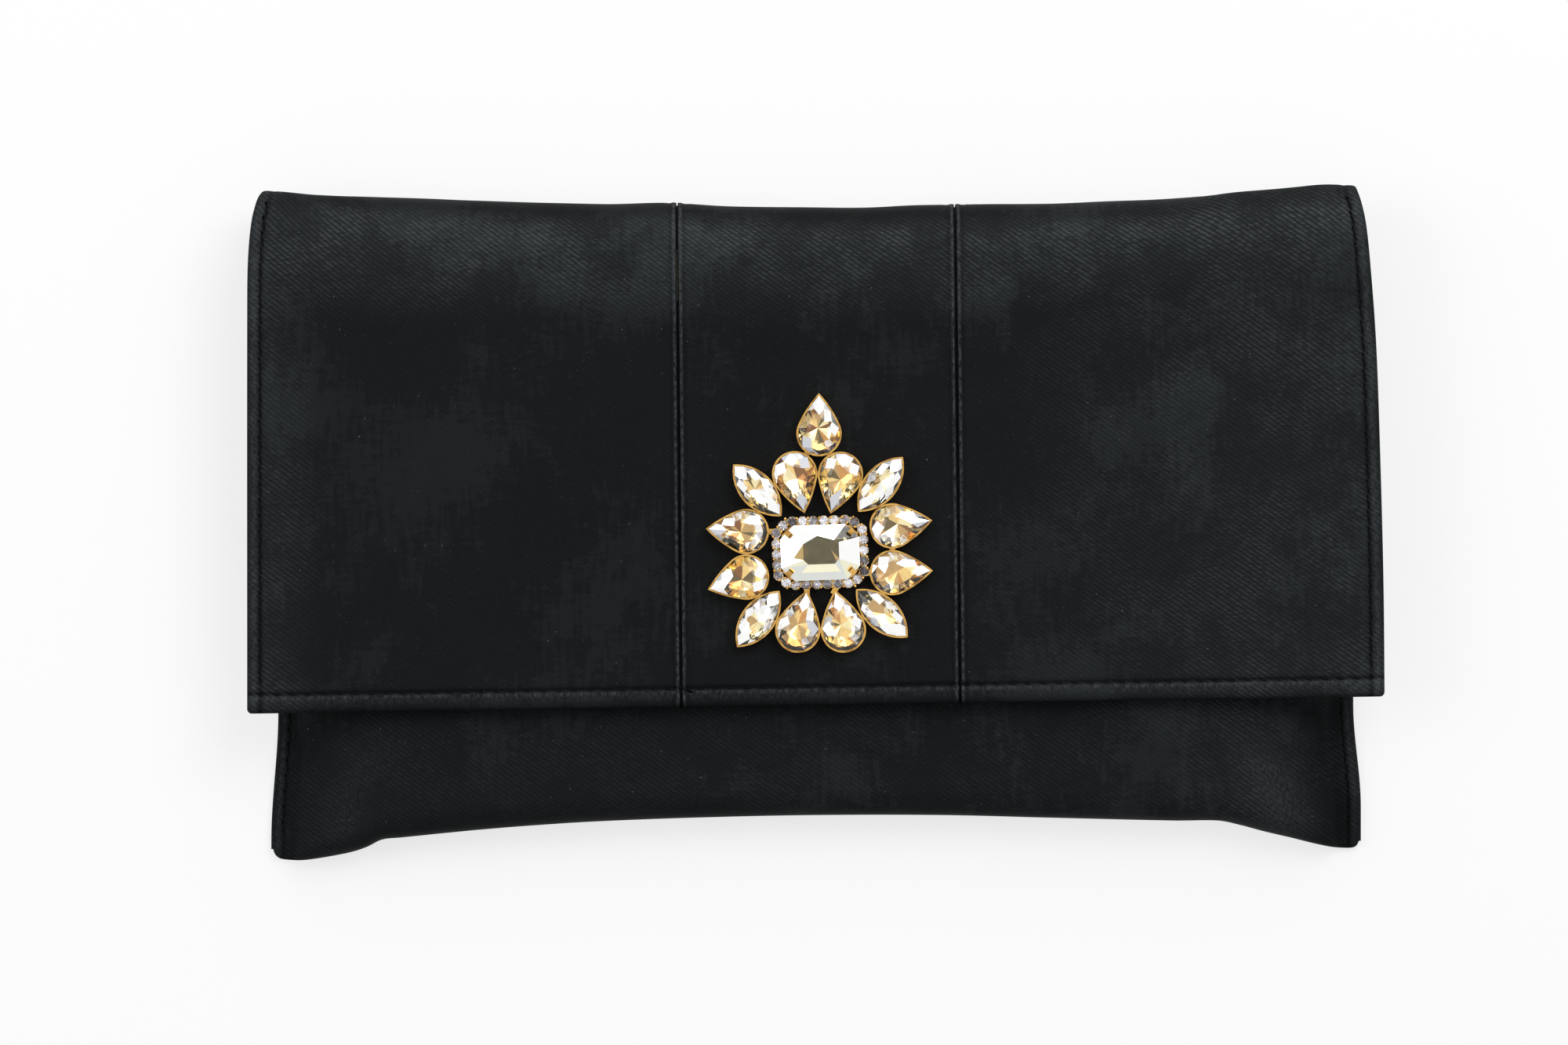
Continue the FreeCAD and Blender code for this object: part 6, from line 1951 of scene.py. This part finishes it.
@dataclass(frozen=True)
class Brooch:
    """Fourteen stones in gilt cups, with a halo of small crystals round the centre stone."""

    PEARS = (("top", -0.010, 1.000, 90), ("upper_left", -0.185, 0.553, -76),
             ("upper_right", 0.142, 0.549, -104), ("left_upper", -0.648, 0.169, 176),
             ("right_upper", 0.631, 0.218, 8), ("left_lower", -0.643, -0.214, 198),
             ("right_lower", 0.634, -0.155, 3), ("bottom_left", -0.161, -0.545, 77),
             ("bottom_right", 0.168, -0.544, 102))
    NAVETTES = (("upper_left", -0.495, 0.488, 133), ("upper_right", 0.474, 0.535, 51),
                ("lower_left", -0.487, -0.523, 233), ("lower_right", 0.484, -0.479, -43))

    sizes: ClutchSizes
    wardrobe: Wardrobe
    stones: StoneSizes = StoneSizes()

    def place(self, x: float, y: float, turn: float) -> Matrix:
        """Return where a stone stands.

        Args:
            x: Its middle's place across the brooch, in shares of the reach.
            y: Its middle's place up the brooch, in shares of the reach.
            turn: Direction of its tip, in degrees.

        Returns:
            Its frame, in metres.
        """
        s = self.stones
        run = self.sizes.flap_run - s.rise * MM / cos(self.sizes.slope)
        base_y, base_z = self.sizes.on_skin(run, -s.foot * MM)
        foot = Matrix.Translation((s.across * MM, base_y, base_z))
        lean = Matrix.Rotation(self.sizes.slope, 4, "X")
        spot = Matrix.Translation((x * s.reach * MM, y * s.reach * MM, 0))
        return foot @ lean @ spot @ Matrix.Rotation(radians(turn), 4, "Z")

    def stone(self, name: str, facets: Sequence[Facet], place: Matrix, slot: str,
              node: str) -> Object:
        """Set one stone.

        Args:
            name: Name of the piece.
            facets: Its facets.
            place: Where it stands.
            slot: Not used.
            node: Node of the frame that it stands for.

        Returns:
            The stone.
        """
        piece = StoneCutter(self.stones).mesh(name, facets, place)
        dress(piece, *self.wardrobe.crystal)
        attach(piece, "flap")
        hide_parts(node)
        return piece

    def catches(self, turn: float, share: float, seed: int) -> Callable[[float], bool]:
        """Return the rule for which crown facets of a stone catch a lamp.

        Args:
            turn: Direction of the stone's tip, in degrees.
            share: How much of the crown flashes.
            seed: The stone's own number.

        Returns:
            The rule, by a facet's angle on the stone.
        """
        chance = random.Random(seed * 7 + 1)
        lamps = ((radians(40 + chance.uniform(-30, 30)), 2.2 * share),
                 (radians(170 + chance.uniform(-35, 35)), 1.2 * share))

        def rule(angle: float) -> bool:
            """Say whether the facet at an angle flashes: at the tip, and towards the lamps."""
            heading = angle + radians(turn)
            near = (abs(remainder(heading - lamp, tau)) < reach for lamp, reach in lamps)
            return abs(angle) < 0.1 or any(near)

        return rule

    def build(self) -> list[Object]:
        """Set every stone, the halo and its beads."""
        s, cutter, made = self.stones, StoneCutter(self.stones), []
        middle = (s.pear_width / 2 - s.pear_length / 2) * 0.6
        kinds = (
            ("pear", self.PEARS, cutter.pear_outline(), middle,
             (Spread.PEAR_HEART, Spread.PEAR_RIM), 0.36, 1),
            ("navette", self.NAVETTES, cutter.navette_outline(), 0.0,
             (Spread.NAVETTE_HEART, Spread.NAVETTE_RIM), 0.80, 20),
        )
        for kind, spots, outline, centre_x, tints, share, first in kinds:
            for seed, (name, x, y, turn) in enumerate(spots, first):
                facets = cutter.brilliant(outline, centre_x, *tints, self.catches(turn, share, seed), seed)
                made.append(self.stone(f"{kind}_{name}", facets, self.place(x, y, turn), "champagne_stone",
                                       f"{kind}_stone_{name}"))
        centre = self.place(0, 0, s.centre_turn)
        made.append(self.stone("centre_crystal", cutter.step_cut(), centre, "clear_stone", "centre_stone"))
        return made + HaloRow().build(centre, self.wardrobe)


# ---- stage
@dataclass(frozen=True)
class Stage:
    """Floor, lamps, world and camera."""

    floor_half: float = 3.0
    floor_drop: float = 0.4 * MM
    floor_glow: float = 0.72
    world_light: float = 0.42
    sensor: float = 36.0
    distance: float = 3.0
    view_width: float = 0.368
    middle: tuple[float, float, float] = (-0.0074, 0.0010, 0.020)

    def seen(self, nodes: Nodes) -> NodeSocket:
        """Return 1 on the rays that show a thing itself: straight, mirrored or through a stone."""
        rays = nodes.add("ShaderNodeLightPath").outputs
        bounced = nodes.larger(rays["Is Glossy Ray"], rays["Is Transmission Ray"])
        return nodes.larger(rays["Is Camera Ray"], bounced)

    def floor(self) -> None:
        """Lay a plain pale floor under the purse."""
        corners = [Vector((x * self.floor_half, y * self.floor_half, -self.floor_drop))
                   for x, y in ((-1, -1), (1, -1), (1, 1), (-1, 1))]
        floor = new_mesh_object("floor", corners, [(0, 1, 2, 3)])
        made, nodes, shader = new_material("floor_paper")
        nodes.put(shader, {"Base Color": (0.9, 0.9, 0.9, 1), "Roughness": 0.9, "Specular IOR Level": 0.0})
        glow = nodes.add("ShaderNodeEmission", {"Strength": 1.0})
        mix = nodes.add("ShaderNodeMixShader", {0: nodes.times(self.seen(nodes), self.floor_glow),
                                                1: shader.outputs[0], 2: glow.outputs[0]})
        nodes.put(nodes.tree.nodes["Material Output"], {"Surface": mix.outputs[0]})
        dress(floor, made)

    def world(self) -> None:
        """Light the scene with an even pale surround, white where the camera sees it."""
        world = bpy.data.worlds.new("surround")
        bpy.context.scene.world = world
        world.use_nodes = True
        world.node_tree.nodes.clear()
        nodes = Nodes(world.node_tree)
        soft, white = (nodes.add("ShaderNodeBackground", {"Color": (1, 1, 1, 1), "Strength": strength})
                       for strength in (self.world_light, 1.0))
        mix = nodes.add("ShaderNodeMixShader", {0: self.seen(nodes), 1: soft.outputs[0], 2: white.outputs[0]})
        nodes.add("ShaderNodeOutputWorld", {"Surface": mix.outputs[0]})

    def lamp(self, name: str, place: Sequence[float], aim: Sequence[float], size: Point,
             power: float) -> None:
        """Hang one soft lamp.

        Args:
            name: Name of the lamp.
            place: Where it hangs.
            aim: What it points at.
            size: Its width and height.
            power: Its power in watts.
        """
        data = bpy.data.lights.new(name, "AREA")
        data.shape = "RECTANGLE"
        data.size, data.size_y = size
        data.energy = power
        lamp = bpy.data.objects.new(name, data)
        lamp.location = place
        lamp.rotation_euler = (Vector(aim) - Vector(place)).to_track_quat("-Z", "Y").to_euler()
        bpy.context.scene.collection.objects.link(lamp)

    def camera(self) -> None:
        """Look straight down on the purse through a long lens."""
        data = bpy.data.cameras.new("camera")
        data.sensor_width = self.sensor
        data.lens = self.sensor * self.distance / self.view_width
        data.clip_end = 50
        camera = bpy.data.objects.new("camera", data)
        camera.location = Vector(self.middle) + Vector((0, 0, self.distance))
        bpy.context.scene.collection.objects.link(camera)
        bpy.context.scene.camera = camera

    def build(self) -> None:
        """Set up the whole stage."""
        self.floor()
        self.world()
        self.lamp("key", (0.55, 0.75, 1.1), (0, 0, 0), (0.9, 0.9), 11.0)
        self.lamp("fill", (-0.9, 0.2, 0.9), (0, 0, 0), (0.8, 0.8), 5.0)
        self.lamp("back", (0.0, 1.3, 0.5), (0, 0.02, 0), (1.2, 0.4), 4.0)
        self.camera()
        bpy.context.scene.view_settings.view_transform = "Standard"


def dress_frame(wardrobe: Wardrobe, nodes: dict[str, Object]) -> None:
    """Put a finish on every CAD node that stays in view.

    Args:
        wardrobe: The finishes.
        nodes: The frame's nodes by name.
    """
    rules = (
        ("board", wardrobe.board), ("interlining", wardrobe.interlining), ("halo_setting", wardrobe.halo),
        ("halo_crystals", wardrobe.melee[1]), ("snap_magnet", wardrobe.magnet), ("snap_", wardrobe.snap),
        ("brooch_retainers", wardrobe.snap), ("_setting", wardrobe.gold), ("_cup_", wardrobe.gold),
        ("solder_bridges", wardrobe.gold), ("brooch_posts", wardrobe.gold), ("stone", wardrobe.crystal[0]),
        ("", wardrobe.lining),
    )
    for name, piece in nodes.items():
        dress_node(piece, next(material for part, material in rules if part in name))


def main() -> None:
    """Load the frame, dress it and set the stage."""
    logging.basicConfig(level=logging.INFO, format="%(name)s: %(message)s")
    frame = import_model()
    sizes = ClutchSizes()
    outline = Outline(sizes)
    cloth = ClothSizes()
    wardrobe = Wardrobe()
    dress_frame(wardrobe, frame["nodes"])
    for part in (FlapCloth(sizes, outline, cloth, wardrobe), PouchCloth(sizes, outline, cloth, wardrobe),
                 Brooch(sizes, wardrobe)):
        for piece in part.build():
            LOG.info("%s: %d faces", piece.name, len(piece.data.polygons))
    Stage().build()


if __name__ == "__main__":
    main()
